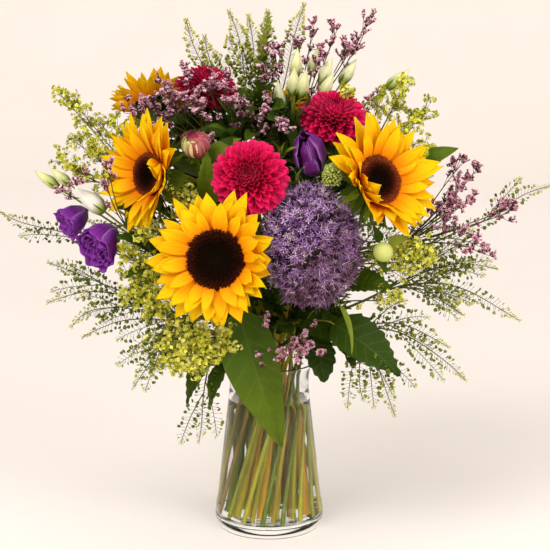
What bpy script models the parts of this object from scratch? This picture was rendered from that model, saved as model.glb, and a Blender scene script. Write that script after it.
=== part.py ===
"""Sunflowers, dahlias and field flowers, spiral tied, standing in a clear glass vase of water.

Metres, +Z up. The origin is the centre of the vase's foot, on the table. -Y is the front.
"""

import math

import bmesh
import bpy
from mathutils import Matrix, Vector

# ---- driving dimensions: the vase ----
VASE_HEIGHT = 0.200
FOOT_RADIUS = 0.052
HEEL_RADIUS = 0.064
HEEL_HEIGHT = 0.015
NECK_RADIUS = 0.0465
NECK_HEIGHT = 0.172
RIM_RADIUS = 0.0505
WALL = 0.0032
FLOOR = 0.010
WATER_LEVEL = 0.156
VASE_SIDES = 40

# ---- driving dimensions: the spiral of stems ----
GAP = 0.0005
FOOT_HEIGHT = 0.0165
TIE_HEIGHT = 0.205
TWIST = math.radians(68)
LEAD = math.radians(38)
# ring of stems: (radius of the feet on the vase's floor, radius where the stems are tied)
RINGS = {
    "outer": (0.0490, 0.0370),
    "middle": (0.0360, 0.0265),
    "inner": (0.0230, 0.0160),
    "core": (0.0090, 0.0060),
}

# ---- the flowers: name, ring, centre of the bloom, the way it faces, and its sizes ----
# sunflower: radius over the ray petals, radius of the seed disc, how far the petals cup forward (degrees)
SUNFLOWERS = [
    ("front", "middle", (-0.055, -0.158, 0.348), (-0.20, -0.97, 0.12), 0.072, 0.032, 8),
    ("left", "middle", (-0.127, -0.096, 0.432), (-0.70, -0.70, 0.12), 0.066, 0.0240, 22),
    ("right", "middle", (0.117, -0.108, 0.426), (0.52, -0.78, 0.34), 0.070, 0.028, 24),
    ("top", "inner", (-0.134, 0.032, 0.496), (-0.10, 0.60, 0.80), 0.051, 0.024, 26),
    ("back", "middle", (0.030, 0.140, 0.462), (0.12, 0.80, 0.59), 0.062, 0.028, 16),
]
# dahlia: radius of the bloom
DAHLIAS = [
    ("centre", "inner", (-0.020, -0.130, 0.434), (-0.06, -0.92, 0.38), 0.042),
    ("right", "inner", (0.073, -0.046, 0.495), (0.10, -0.55, 0.83), 0.038),
    ("top", "inner", (-0.070, -0.022, 0.526), (0.15, -0.30, 0.94), 0.036),
    ("back", "middle", (-0.070, 0.150, 0.400), (-0.30, 0.93, 0.20), 0.042),
]
# unopened dahlia: radius of the bud
DAHLIA_BUDS = [
    ("half_open", "inner", (-0.080, -0.104, 0.466), (-0.10, -0.60, 0.80), 0.0155),
    ("green", "outer", (0.124, -0.134, 0.352), (0.30, -0.90, 0.30), 0.0110),
]
THROATWORT = ("middle", (0.048, -0.116, 0.356), (0.18, -0.96, 0.16), 0.061)
# lisianthus: ring, fork of the stem, open blooms as (name, base, way it faces, length, mouth radius), bud tips
LISIANTHUS = [
    (
        "left",
        "outer",
        (-0.120, -0.062, 0.338),
        [
            ("low", (-0.173, -0.056, 0.366), (-0.50, -0.72, -0.48), 0.044, 0.024),
            ("high", (-0.208, -0.028, 0.384), (-0.70, -0.56, -0.45), 0.034, 0.017),
        ],
        [(-0.214, -0.066, 0.412), (-0.262, -0.020, 0.424)],
    ),
    (
        "centre",
        "inner",
        (0.024, -0.050, 0.420),
        [("upright", (0.051, -0.094, 0.432), (-0.24, -0.36, 0.90), 0.050, 0.019)],
        [],
    ),
    (
        "buds",
        "inner",
        (0.036, -0.004, 0.450),
        [],
        [
            (0.010, -0.050, 0.532),
            (0.028, -0.060, 0.542),
            (0.056, -0.006, 0.566),
            (0.100, 0.014, 0.552),
            (0.156, 0.016, 0.536),
        ],
    ),
]
# sprays of one kind: name, ring, fork of the stem, tips of the side shoots
PENNYCRESS = [
    ("top_left", "core", (-0.046, 0.050, 0.455), [(-0.096, 0.046, 0.597), (-0.076, 0.066, 0.577)]),
    (
        "top",
        "core",
        (-0.006, 0.044, 0.440),
        [(-0.046, 0.046, 0.607), (-0.024, 0.058, 0.602), (-0.002, 0.012, 0.607), (0.040, 0.028, 0.614)],
    ),
    ("left_high", "outer", (-0.186, 0.004, 0.340), [(-0.312, 0.000, 0.378)]),
    (
        "left",
        "outer",
        (-0.126, -0.046, 0.280),
        [(-0.254, -0.020, 0.322), (-0.246, -0.090, 0.288), (-0.218, -0.106, 0.264)],
    ),
    (
        "left_low",
        "outer",
        (-0.090, -0.072, 0.262),
        [(-0.206, -0.104, 0.252), (-0.152, -0.124, 0.234), (-0.150, -0.118, 0.198)],
    ),
    ("down_left", "outer", (-0.064, -0.074, 0.224), [(-0.079, -0.098, 0.130)]),
    ("right_high", "outer", (0.200, 0.012, 0.348), [(0.327, 0.004, 0.408)]),
    (
        "right",
        "outer",
        (0.146, -0.052, 0.306),
        [(0.284, -0.060, 0.262), (0.262, -0.030, 0.316), (0.216, -0.100, 0.276)],
    ),
    (
        "right_low",
        "outer",
        (0.096, -0.068, 0.258),
        [(0.198, -0.122, 0.244), (0.217, -0.122, 0.207), (0.140, -0.122, 0.166), (0.104, -0.132, 0.186)],
    ),
    (
        "back_left",
        "outer",
        (-0.110, 0.096, 0.320),
        [(-0.230, 0.130, 0.352), (-0.170, 0.210, 0.330), (-0.180, 0.150, 0.250)],
    ),
    (
        "back_right",
        "outer",
        (0.110, 0.100, 0.320),
        [(0.230, 0.130, 0.340), (0.150, 0.220, 0.350), (0.160, 0.170, 0.240)],
    ),
]
STATICE = [
    (
        "top_left",
        "inner",
        (-0.052, -0.030, 0.452),
        [(-0.118, -0.058, 0.526), (-0.050, -0.070, 0.528), (-0.030, -0.062, 0.498)],
    ),
    (
        "top",
        "inner",
        (0.034, 0.052, 0.460),
        [(-0.004, -0.030, 0.548), (0.050, 0.004, 0.586), (0.112, 0.036, 0.592)],
    ),
    (
        "right",
        "middle",
        (0.160, -0.036, 0.350),
        [(0.214, -0.056, 0.396), (0.270, -0.052, 0.384), (0.232, -0.066, 0.350), (0.234, -0.016, 0.424)],
    ),
    ("front", "outer", (0.014, -0.068, 0.236), [(0.000, -0.100, 0.226), (0.036, -0.104, 0.242)]),
    ("back", "middle", (0.080, 0.090, 0.400), [(0.110, 0.130, 0.480), (0.150, 0.120, 0.430)]),
]
LADYS_MANTLE = [
    (
        "left",
        "middle",
        (-0.130, 0.000, 0.386),
        [(-0.214, -0.030, 0.458), (-0.240, 0.004, 0.514), (-0.196, 0.020, 0.480)],
    ),
    (
        "low_left",
        "outer",
        (-0.058, -0.074, 0.238),
        [(-0.074, -0.112, 0.246), (-0.116, -0.104, 0.222), (-0.138, -0.088, 0.312)],
    ),
    (
        "right",
        "middle",
        (0.110, 0.010, 0.420),
        [(0.164, -0.014, 0.486), (0.186, 0.000, 0.446), (0.132, 0.026, 0.510)],
    ),
    ("back", "outer", (-0.010, 0.130, 0.310), [(-0.020, 0.190, 0.340), (0.040, 0.190, 0.320)]),
]
# leaf: stem it grows on, height at which it leaves the stem, base of the blade, tip, the way its upper side faces, width
LEAVES = [
    ("sunflower_front", 0.232, (-0.034, -0.088, 0.280), (0.014, -0.088, 0.128), (-0.15, -0.98, 0.10), 0.064),
    ("sunflower_left", 0.226, (-0.060, -0.046, 0.240), (-0.092, -0.066, 0.168), (-0.50, -0.80, 0.30), 0.026),
    ("dahlia_bud_green", 0.256, (0.072, -0.090, 0.264), (0.143, -0.116, 0.212), (0.25, -0.85, 0.45), 0.048),
    ("sunflower_right", 0.300, (0.090, -0.064, 0.306), (0.136, -0.092, 0.304), (0.10, -0.75, 0.65), 0.032),
    ("sunflower_right", 0.330, (0.150, -0.020, 0.420), (0.212, -0.040, 0.454), (-0.30, -0.75, 0.58), 0.028),
    ("dahlia_bud_green", 0.232, (0.050, -0.066, 0.246), (0.062, -0.088, 0.198), (0.30, -0.95, 0.10), 0.034),
    ("dahlia_bud_half_open", 0.340, (-0.066, -0.088, 0.396), (-0.068, -0.108, 0.458), (0.05, -0.97, 0.25), 0.024),
    ("sunflower_back", 0.250, (0.010, 0.090, 0.290), (0.050, 0.150, 0.240), (0.10, 0.70, 0.70), 0.060),
    ("dahlia_back", 0.300, (-0.052, 0.112, 0.320), (-0.064, 0.150, 0.236), (-0.20, 0.95, 0.25), 0.056),
]

# ---- stem thickness ----
SUNFLOWER_STEM = 0.0042
DAHLIA_STEM = 0.0028
THROATWORT_STEM = 0.0030
LISIANTHUS_STEM = 0.0024
SPRAY_STEM = 0.0020
LEAF_STALK = 0.0014


# ---- how the side shoots of a spray swell from root to tip: radius in millimetres ----
RACEME = [1.0, 1.0, 1.6, 3.6, 3.6, 1.2]
TUFT = [1.0, 1.0, 1.0, 1.2, 7.0, 8.0, 2.0]
FROTH = [1.0, 1.0, 1.0, 3.0, 10.0, 11.0, 4.0]


# ---- materials ----
def material(name, colour, roughness, alpha=1.0):
    made = bpy.data.materials.new(name)
    made.use_nodes = True
    shader = made.node_tree.nodes["Principled BSDF"]
    shader.inputs["Base Color"].default_value = (*colour, 1.0)
    shader.inputs["Roughness"].default_value = roughness
    shader.inputs["Metallic"].default_value = 0.0
    shader.inputs["Alpha"].default_value = alpha
    made.diffuse_color = (*colour, alpha)
    return made


def make_materials():
    return {
        "glass": material("glass", (0.90, 0.95, 0.93), 0.03, 0.30),
        "water": material("water", (0.92, 0.96, 0.92), 0.02, 0.30),
        "stem": material("stem", (0.22, 0.33, 0.07), 0.55),
        "sunflower_petal": material("sunflower_petal", (0.95, 0.55, 0.01), 0.55),
        "sunflower_disc": material("sunflower_disc", (0.05, 0.02, 0.015), 0.85),
        "dahlia_petal": material("dahlia_petal", (0.62, 0.01, 0.12), 0.50),
        "dahlia_bud": material("dahlia_bud", (0.60, 0.58, 0.16), 0.50),
        "throatwort": material("throatwort", (0.32, 0.16, 0.50), 0.70),
        "lisianthus_petal": material("lisianthus_petal", (0.22, 0.05, 0.48), 0.45),
        "pennycress": material("pennycress", (0.34, 0.42, 0.10), 0.60),
        "statice": material("statice", (0.72, 0.36, 0.52), 0.70),
        "ladys_mantle": material("ladys_mantle", (0.62, 0.62, 0.08), 0.70),
        "leaf": material("leaf", (0.07, 0.16, 0.03), 0.45),
    }


# ---- building blocks ----
def add(name, mesh, look):
    made = bpy.data.objects.new(name, mesh)
    bpy.context.scene.collection.objects.link(made)
    made.data.materials.clear()
    made.data.materials.append(look)
    return made


def finish_mesh(name, work, smooth_angle=50):
    """Welds the seams of a bmesh, turns its faces outwards and gives it as a mesh."""
    bmesh.ops.remove_doubles(work, verts=work.verts, dist=1e-6)
    bmesh.ops.recalc_face_normals(work, faces=work.faces)
    mesh = bpy.data.meshes.new(name)
    work.to_mesh(mesh)
    work.free()
    mesh.shade_smooth()
    mesh.set_sharp_from_angle(angle=math.radians(smooth_angle))
    return mesh


def turned_mesh(name, profile, sides):
    """A solid of revolution about +Z from (radius, height) points that start and end on the axis."""
    work = bmesh.new()
    points = [work.verts.new((radius, 0, height)) for radius, height in profile]
    edges = [work.edges.new(pair) for pair in zip(points, points[1:])]
    bmesh.ops.spin(
        work, geom=points + edges, cent=(0, 0, 0), axis=(0, 0, 1), angle=2 * math.pi, steps=sides
    )
    return finish_mesh(name, work)


def tube_mesh(name, points, radii, round_steps=1):
    """A closed tube along points, with a radius at each: 4 + 2 * round_steps sides."""
    curve = bpy.data.curves.new(name, "CURVE")
    curve.dimensions = "3D"
    curve.bevel_depth = 1.0
    curve.bevel_resolution = round_steps
    curve.use_fill_caps = True
    spline = curve.splines.new("POLY")
    spline.points.add(len(points) - 1)
    for knot, point, radius in zip(spline.points, points, radii):
        knot.co = (*point, 1.0)
        knot.radius = radius
    holder = bpy.data.objects.new(name, curve)
    work = bmesh.new()
    work.from_mesh(holder.to_mesh())
    holder.to_mesh_clear()
    bpy.data.objects.remove(holder)
    return finish_mesh(name, work)


def face_along(obj, centre, facing):
    """Turns an object that was modelled along +Z to face the given way, at centre."""
    obj.rotation_mode = "QUATERNION"
    obj.rotation_quaternion = Vector(facing).to_track_quat("Z", "Y")
    obj.location = centre


def join_onto(trunk, shoots):
    """Unites a stem with its side shoots, which become hidden helpers."""
    for shoot in shoots:
        shoot.hide_render = True
        shoot.display_type = "WIRE"
        joint = trunk.modifiers.new("grown_on", "BOOLEAN")
        joint.operation = "UNION"
        joint.object = shoot


# ---- paths of the stems ----
def bezier(a, b, c, d, steps):
    """Points of a cubic curve, its first point left out."""
    found = []
    for i in range(1, steps + 1):
        t = i / steps
        s = 1 - t
        found.append(s**3 * a + 3 * s * s * t * b + 3 * s * t * t * c + t**3 * d)
    return found


def on_ring(radius, angle, height):
    return Vector((radius * math.cos(angle), radius * math.sin(angle), height))


def all_stems():
    """(key, ring, where the stem is heading) for every stem that stands in the vase."""
    stems = [(f"sunflower_{n}", ring, at) for n, ring, at, *_ in SUNFLOWERS]
    stems += [(f"dahlia_{n}", ring, at) for n, ring, at, *_ in DAHLIAS]
    stems += [(f"dahlia_bud_{n}", ring, at) for n, ring, at, *_ in DAHLIA_BUDS]
    stems += [("throatwort", THROATWORT[0], THROATWORT[1])]
    stems += [(f"lisianthus_{n}", ring, fork) for n, ring, fork, *_ in LISIANTHUS]
    stems += [(f"pennycress_{n}", ring, fork) for n, ring, fork, _ in PENNYCRESS]
    stems += [(f"statice_{n}", ring, fork) for n, ring, fork, _ in STATICE]
    stems += [(f"ladys_mantle_{n}", ring, fork) for n, ring, fork, _ in LADYS_MANTLE]
    return stems


def tie_angles():
    """The angle at which each stem crosses the tie: even spacing in its ring, in the order of the blooms."""
    angles = {}
    for ring in RINGS:
        members = [(math.atan2(at[1], at[0]), key) for key, r, at in all_stems() if r == ring]
        members.sort()
        step = 2 * math.pi / len(members)
        drift = sum(angle - i * step for i, (angle, _) in enumerate(members)) / len(members)
        for i, (_, key) in enumerate(members):
            angles[key] = (ring, i * step + drift - LEAD)
    return angles


def stem_path(key, end, facing, angles, steps=6, lift=0.42, run_in=0.40):
    """From the vase's floor, straight through the tie, then in one curve to end, arriving along facing."""
    ring, angle = angles[key]
    foot_radius, tie_radius = RINGS[ring]
    foot = on_ring(foot_radius, angle - TWIST, FOOT_HEIGHT)
    tie = on_ring(tie_radius, angle, TIE_HEIGHT)
    end = Vector(end)
    reach = (end - tie).length
    leave = tie + (tie - foot).normalized() * reach * lift
    arrive = end - Vector(facing).normalized() * reach * run_in
    return [foot, tie] + bezier(tie, leave, arrive, end, steps)


def shoot_path(trunk, start_share, tip, steps=4, droop=0.0):
    """A side shoot: leaves the trunk's path part way along and curves to its tip."""
    index = min(len(trunk) - 2, int(start_share * (len(trunk) - 1)))
    start = trunk[index]
    along = (trunk[index + 1] - start).normalized()
    tip = Vector(tip)
    reach = (tip - start).length
    toward = (tip - start).normalized()
    arrive = tip - (toward + Vector((0, 0, -droop))).normalized() * reach * 0.35
    return [start] + bezier(start, start + along * reach * 0.35, arrive, tip, steps)


# ---- the pieces ----
def make_vase(looks):
    outside = [
        (0, 0),
        (FOOT_RADIUS, 0),
        (FOOT_RADIUS + 0.70 * (HEEL_RADIUS - FOOT_RADIUS), 0.25 * HEEL_HEIGHT),
        (HEEL_RADIUS - 0.0005, 0.65 * HEEL_HEIGHT),
        (HEEL_RADIUS, HEEL_HEIGHT),
        (NECK_RADIUS, NECK_HEIGHT),
        (NECK_RADIUS + 0.0008, 0.185),
        (RIM_RADIUS, VASE_HEIGHT - 0.0012),
        (RIM_RADIUS - 0.5 * WALL, VASE_HEIGHT),
    ]
    inside = [
        (RIM_RADIUS - WALL, VASE_HEIGHT - 0.0012),
        (NECK_RADIUS + 0.0008 - WALL, 0.185),
        (NECK_RADIUS - WALL, NECK_HEIGHT),
        (HEEL_RADIUS - WALL, HEEL_HEIGHT + 0.006),
        (HEEL_RADIUS - WALL - 0.006, FLOOR),
        (0, FLOOR),
    ]
    return add("vase", turned_mesh("vase", outside + inside, VASE_SIDES), looks["glass"])


def make_water(looks, paths):
    """The water, with a clear way round every stem that stands in it."""
    slope = (HEEL_RADIUS - NECK_RADIUS) / (NECK_HEIGHT - HEEL_HEIGHT - 0.006)
    top_radius = HEEL_RADIUS - WALL - slope * (WATER_LEVEL - HEEL_HEIGHT - 0.006)
    inset = 0.0006
    profile = [
        (0, FLOOR + GAP),
        (HEEL_RADIUS - WALL - 0.006 - inset, FLOOR + GAP),
        (HEEL_RADIUS - WALL - inset, HEEL_HEIGHT + 0.006),
        (top_radius - inset, WATER_LEVEL),
        (0, WATER_LEVEL),
    ]
    water = add("water", turned_mesh("water", profile, VASE_SIDES), looks["water"])
    for key, (_, path, radius) in paths.items():
        foot, tie = path[:2]
        along = (tie - foot).normalized()
        clear = radius * 1.22 + 0.0006
        cutter = add(f"{key}_way", tube_mesh(key, [foot - along * 0.0012, tie], [clear, clear]), looks["water"])
        cutter.hide_render = True
        cutter.display_type = "WIRE"
        cut = water.modifiers.new("stem_way", "BOOLEAN")
        cut.operation = "DIFFERENCE"
        cut.object = cutter
    return water


def petal_ring_mesh(name, inner, outer, cup_degrees, petals=21):
    """The ray petals as one thin cupped star, modelled round +Z: each petal is widest half way out."""
    thickness = 0.0012
    rise = math.tan(math.radians(cup_degrees))
    reach = outer - inner
    # radius in line with a petal's tip, and radius between two petals
    rings = [(inner, inner), (inner + 0.55 * reach, inner + 0.50 * reach), (outer, inner + 0.60 * reach)]
    count = 2 * petals
    work = bmesh.new()
    sheets = []
    for lift in (0.0, thickness):
        rows = []
        for at_tip, at_notch in rings:
            radii = [at_tip, at_notch] * petals
            rows.append([
                work.verts.new(on_ring(radius, math.pi * i / petals, 0.0022 + lift + (radius - inner) * rise))
                for i, radius in enumerate(radii)
            ])
        sheets.append(rows)
    under, upper = sheets
    for i in range(count):
        j = (i + 1) % count
        for a, b in zip(under, under[1:]):
            work.faces.new([a[j], b[j], b[i], a[i]])
        for a, b in zip(upper, upper[1:]):
            work.faces.new([a[i], b[i], b[j], a[j]])
        work.faces.new([under[0][i], upper[0][i], upper[0][j], under[0][j]])
        work.faces.new([under[-1][i], under[-1][j], upper[-1][j], upper[-1][i]])
    return finish_mesh(name, work, 30)


def make_sunflower(looks, angles, name, centre, facing, outer, disc, cup):
    key = f"sunflower_{name}"
    centre = Vector(centre)
    axis = Vector(facing).normalized()
    back = centre - axis * 0.026
    path = stem_path(key, back, facing, angles)
    radii = [SUNFLOWER_STEM] * len(path)
    flare = [(0.010, 0.0075), (0.018, 0.70 * disc), (0.0255, 0.96 * disc)]
    path += [back + axis * along for along, _ in flare]
    radii += [radius for _, radius in flare]
    stem = add(f"{key}_stem", tube_mesh(key, path, radii, 2), looks["stem"])
    petals = add(f"{key}_petals", petal_ring_mesh(key, disc + 0.0008, outer, cup), looks["sunflower_petal"])
    face_along(petals, centre, facing)
    profile = [(0, 0.0005), (disc, 0.0005), (disc, 0.005), (0.72 * disc, 0.0095), (0.35 * disc, 0.0090), (0, 0.0080)]
    seeds = add(f"{key}_disc", turned_mesh(key, profile, 20), looks["sunflower_disc"])
    face_along(seeds, centre, facing)
    return stem, path, SUNFLOWER_STEM


def make_dahlia(looks, angles, name, centre, facing, radius):
    key = f"dahlia_{name}"
    axis = Vector(facing).normalized()
    back = Vector(centre) - axis * (0.62 * radius + 0.0062)
    path = stem_path(key, back, facing, angles)
    radii = [DAHLIA_STEM] * len(path)
    path += [back + axis * 0.0055]
    radii += [0.0075]
    stem = add(f"{key}_stem", tube_mesh(key, path, radii), looks["stem"])
    profile = [
        (0, -0.62 * radius),
        (0.30 * radius, -0.62 * radius),
        (0.78 * radius, -0.36 * radius),
        (radius, 0.0),
        (0.88 * radius, 0.34 * radius),
        (0.55 * radius, 0.56 * radius),
        (0, 0.62 * radius),
    ]
    bloom = add(f"{key}_bloom", turned_mesh(key, profile, 14), looks["dahlia_petal"])
    face_along(bloom, centre, facing)
    return stem, path, DAHLIA_STEM


def make_dahlia_bud(looks, angles, name, centre, facing, radius):
    """A bud is one grown piece with its stem: the tube swells into the round bud."""
    key = f"dahlia_bud_{name}"
    axis = Vector(facing).normalized()
    base = Vector(centre) - axis * radius
    path = stem_path(key, base - axis * 0.004, facing, angles)
    radii = [DAHLIA_STEM * 0.8] * len(path)
    for share in (0.12, 0.5, 1.0, 1.5, 1.88):
        path.append(base + axis * radius * share)
        radii.append(radius * math.sqrt(1 - (share - 1) ** 2))
    stem = add(key, tube_mesh(key, path, radii, 2), looks["dahlia_bud"])
    return stem, path, DAHLIA_STEM * 0.8


def make_throatwort(looks, angles):
    _, centre, facing, radius = THROATWORT
    axis = Vector(facing).normalized()
    back = Vector(centre) - axis * (0.55 * radius + 0.0008)
    path = stem_path("throatwort", back, facing, angles)
    stem = add("throatwort_stem", tube_mesh("throatwort", path, [THROATWORT_STEM] * len(path)), looks["stem"])
    profile = [
        (0, -0.55 * radius),
        (0.35 * radius, -0.50 * radius),
        (0.80 * radius, -0.22 * radius),
        (radius, 0.10 * radius),
        (0.86 * radius, 0.42 * radius),
        (0.50 * radius, 0.66 * radius),
        (0, 0.76 * radius),
    ]
    head = add("throatwort_head", turned_mesh("throatwort", profile, 16), looks["throatwort"])
    face_along(head, centre, facing)
    return stem, path, THROATWORT_STEM


def make_lisianthus(looks, angles, name, fork, blooms, buds):
    key = f"lisianthus_{name}"
    outward = Vector((fork[0], fork[1], 0)).normalized() * 0.6 + Vector((0, 0, 0.8))
    path = stem_path(key, fork, outward, angles)
    shoots = []
    for i, (bloom, base, facing, length, mouth) in enumerate(blooms):
        axis = Vector(facing).normalized()
        base = Vector(base)
        reach = (base - path[-1]).length
        side = [path[-2]] + bezier(
            path[-2], path[-2] + (path[-1] - path[-2]) * 1.2, base - axis * reach * 0.4, base - axis * 0.0014, 5
        )
        shoots.append(tube_mesh(f"{key}_side{i}", side, [LISIANTHUS_STEM * 0.7] * 5 + [0.0016]))
        profile = [
            (0, 0),
            (0.20 * mouth, 0),
            (0.62 * mouth, 0.30 * length),
            (0.80 * mouth, 0.65 * length),
            (mouth, 0.92 * length),
            (0.86 * mouth, length),
            (0.40 * mouth, 0.80 * length),
            (0, 0.72 * length),
        ]
        cup = add(f"{key}_bloom_{bloom}", turned_mesh(bloom, profile, 12), looks["lisianthus_petal"])
        face_along(cup, base, facing)
    for i, tip in enumerate(buds):
        side = shoot_path(path, 0.86, tip, steps=7)
        swell = [0.9, 0.9, 0.9, 0.9, 1.2, 4.6, 5.0, 1.0]
        shoots.append(tube_mesh(f"{key}_bud{i}", side, [0.001 * r for r in swell]))
    trunk = add(f"{key}_stem", tube_mesh(key, path, [LISIANTHUS_STEM] * len(path)), looks["stem"])
    join_onto(trunk, [add(mesh.name, mesh, looks["stem"]) for mesh in shoots])
    return trunk, path, LISIANTHUS_STEM


def make_spray(looks, angles, kind, name, fork, tips, swell):
    """One grown branch: a stem that forks into side shoots, each swelling as swell says towards its tip."""
    key = f"{kind}_{name}"
    outward = Vector((fork[0], fork[1], 0)).normalized() * 0.75 + Vector((0, 0, 0.66))
    path = stem_path(key, fork, outward, angles)
    radii = [SPRAY_STEM] * 5 + [SPRAY_STEM * 0.8] * (len(path) - 5)
    trunk = add(key, tube_mesh(key, path, radii), looks[kind])
    shoots = []
    for i, tip in enumerate(tips):
        droop = 0.6 if tip[2] < fork[2] + 0.02 else 0.0
        side = shoot_path(path, 0.88, tip, steps=len(swell) - 1, droop=droop)
        shoots.append(add(f"{key}_shoot{i}", tube_mesh(key, side, [0.001 * r for r in swell]), looks[kind]))
    join_onto(trunk, shoots)
    return trunk, path, SPRAY_STEM


def leaf_mesh(name, length, width):
    """A pointed blade along +X with its upper side to +Z, folded a little along the midrib."""
    shares = [0.0, 0.10, 0.25, 0.45, 0.65, 0.85, 1.0]
    halves = [0.06, 0.34, 0.50, 0.48, 0.34, 0.14, 0.015]
    thickness = 0.0010
    work = bmesh.new()
    sheets = []
    for lift in (0.0, thickness):
        rows = []
        for share, half in zip(shares, halves):
            x = share * length
            arch = 0.10 * length * math.sin(math.pi * share)
            fold = 0.18 * half * width
            rows.append(
                [work.verts.new((x, side * half * width, arch + lift + abs(side) * fold)) for side in (-1, 0, 1)]
            )
        sheets.append(rows)
    under, upper = sheets
    for a, b, c, d in zip(under, under[1:], upper, upper[1:]):
        for k in (0, 1):
            work.faces.new([a[k], b[k], b[k + 1], a[k + 1]])
            work.faces.new([c[k], c[k + 1], d[k + 1], d[k]])
        work.faces.new([a[0], c[0], d[0], b[0]])
        work.faces.new([a[2], b[2], d[2], c[2]])
    for a, c in ((under[0], upper[0]), (under[-1], upper[-1])):
        for k in (0, 1):
            work.faces.new([a[k], a[k + 1], c[k + 1], c[k]])
    return finish_mesh(name, work, 30)


def point_at_height(path, height):
    for a, b in zip(path, path[1:]):
        if a.z <= height <= b.z:
            return a.lerp(b, (height - a.z) / (b.z - a.z))
    return path[-1]


def grow_leaf(looks, stem, path, number, height, base, tip, upper_side, width):
    """A blade on a stalk that leaves the stem at the given height, united with the stem."""
    base, tip = Vector(base), Vector(tip)
    along = (tip - base).normalized()
    across = Vector(upper_side).cross(along).normalized()
    normal = along.cross(across)
    length = (tip - base).length
    key = f"{stem.name}_leaf{number}"
    blade = add(key, leaf_mesh(key, length, width), looks["leaf"])
    blade.matrix_world = Matrix.Translation(base) @ Matrix((along, across, normal)).transposed().to_4x4()
    root = point_at_height(path, height)
    inside = base + along * 0.10 * length + normal * 0.030 * length
    stalk_path = [root] + bezier(root, root + (base - root) * 0.5, base - along * 0.012, base, 4) + [inside]
    stalk = add(f"{key}_stalk", tube_mesh(key, stalk_path, [LEAF_STALK] * 6), looks["leaf"])
    join_onto(stem, [blade, stalk])


def main():
    for obj in list(bpy.data.objects):
        bpy.data.objects.remove(obj)
    looks = make_materials()
    angles = tie_angles()
    paths = {}
    for name, _, *rest in SUNFLOWERS:
        paths[f"sunflower_{name}"] = make_sunflower(looks, angles, name, *rest)
    for name, _, *rest in DAHLIAS:
        paths[f"dahlia_{name}"] = make_dahlia(looks, angles, name, *rest)
    for name, _, *rest in DAHLIA_BUDS:
        paths[f"dahlia_bud_{name}"] = make_dahlia_bud(looks, angles, name, *rest)
    paths["throatwort"] = make_throatwort(looks, angles)
    for name, _, *rest in LISIANTHUS:
        paths[f"lisianthus_{name}"] = make_lisianthus(looks, angles, name, *rest)
    for kind, sprays, swell in (
        ("pennycress", PENNYCRESS, RACEME),
        ("statice", STATICE, TUFT),
        ("ladys_mantle", LADYS_MANTLE, FROTH),
    ):
        for name, _, fork, tips in sprays:
            paths[f"{kind}_{name}"] = make_spray(looks, angles, kind, name, fork, tips, swell)
    for number, (key, *leaf) in enumerate(LEAVES):
        stem, path, _ = paths[key]
        grow_leaf(looks, stem, path, number, *leaf)
    make_vase(looks)
    make_water(looks, paths)


main()
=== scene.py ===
import math

import bpy
import numpy as np
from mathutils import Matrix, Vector


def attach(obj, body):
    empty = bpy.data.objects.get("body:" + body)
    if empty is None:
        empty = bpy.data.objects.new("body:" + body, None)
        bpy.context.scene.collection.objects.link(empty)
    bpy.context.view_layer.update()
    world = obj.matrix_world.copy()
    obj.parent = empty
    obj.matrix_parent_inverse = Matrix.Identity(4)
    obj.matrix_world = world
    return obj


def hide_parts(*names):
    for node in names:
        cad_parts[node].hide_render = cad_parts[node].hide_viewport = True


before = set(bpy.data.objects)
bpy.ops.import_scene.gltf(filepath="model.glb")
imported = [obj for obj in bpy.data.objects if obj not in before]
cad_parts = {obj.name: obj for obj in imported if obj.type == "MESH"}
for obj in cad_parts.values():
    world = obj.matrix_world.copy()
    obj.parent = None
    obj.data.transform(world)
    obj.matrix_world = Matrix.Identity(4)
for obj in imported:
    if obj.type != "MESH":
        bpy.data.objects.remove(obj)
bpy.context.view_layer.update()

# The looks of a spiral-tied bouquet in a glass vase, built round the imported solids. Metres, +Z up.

GOLDEN = math.radians(137.508)

# ---- the vase ----
VASE_HEIGHT = 0.200
FOOT_RADIUS = 0.052
HEEL_RADIUS = 0.064
HEEL_HEIGHT = 0.015
NECK_RADIUS = 0.0465
NECK_HEIGHT = 0.172
RIM_RADIUS = 0.0505
WALL = 0.0032
FLOOR = 0.010
WATER_LEVEL = 0.156

# ---- the spiral of stems, as in the solids ----
FOOT_HEIGHT = 0.0165
TIE_HEIGHT = 0.205
TWIST = math.radians(68)
LEAD = math.radians(38)
RINGS = {
    "outer": (0.0490, 0.0370),
    "middle": (0.0360, 0.0265),
    "inner": (0.0230, 0.0160),
    "core": (0.0090, 0.0060),
}

# ---- the flowers, as in the solids: name, ring, centre of the bloom, the way it faces, and its sizes ----
# sunflower: radius over the ray petals, radius of the seed disc, how far the petals cup forward (degrees)
SUNFLOWERS = [
    ("front", "middle", (-0.055, -0.158, 0.348), (-0.20, -0.97, 0.12), 0.072, 0.032, 8),
    ("left", "middle", (-0.127, -0.096, 0.432), (-0.70, -0.70, 0.12), 0.066, 0.0240, 22),
    ("right", "middle", (0.117, -0.108, 0.426), (0.52, -0.78, 0.34), 0.070, 0.028, 24),
    ("top", "inner", (-0.134, 0.032, 0.496), (-0.10, 0.60, 0.80), 0.051, 0.024, 26),
    ("back", "middle", (0.030, 0.140, 0.462), (0.12, 0.80, 0.59), 0.062, 0.028, 16),
]
# dahlia: radius of the bloom
DAHLIAS = [
    ("centre", "inner", (-0.020, -0.130, 0.434), (-0.06, -0.92, 0.38), 0.042),
    ("right", "inner", (0.073, -0.046, 0.495), (0.10, -0.55, 0.83), 0.038),
    ("top", "inner", (-0.070, -0.022, 0.526), (0.15, -0.30, 0.94), 0.036),
    ("back", "middle", (-0.070, 0.150, 0.400), (-0.30, 0.93, 0.20), 0.042),
]
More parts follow.
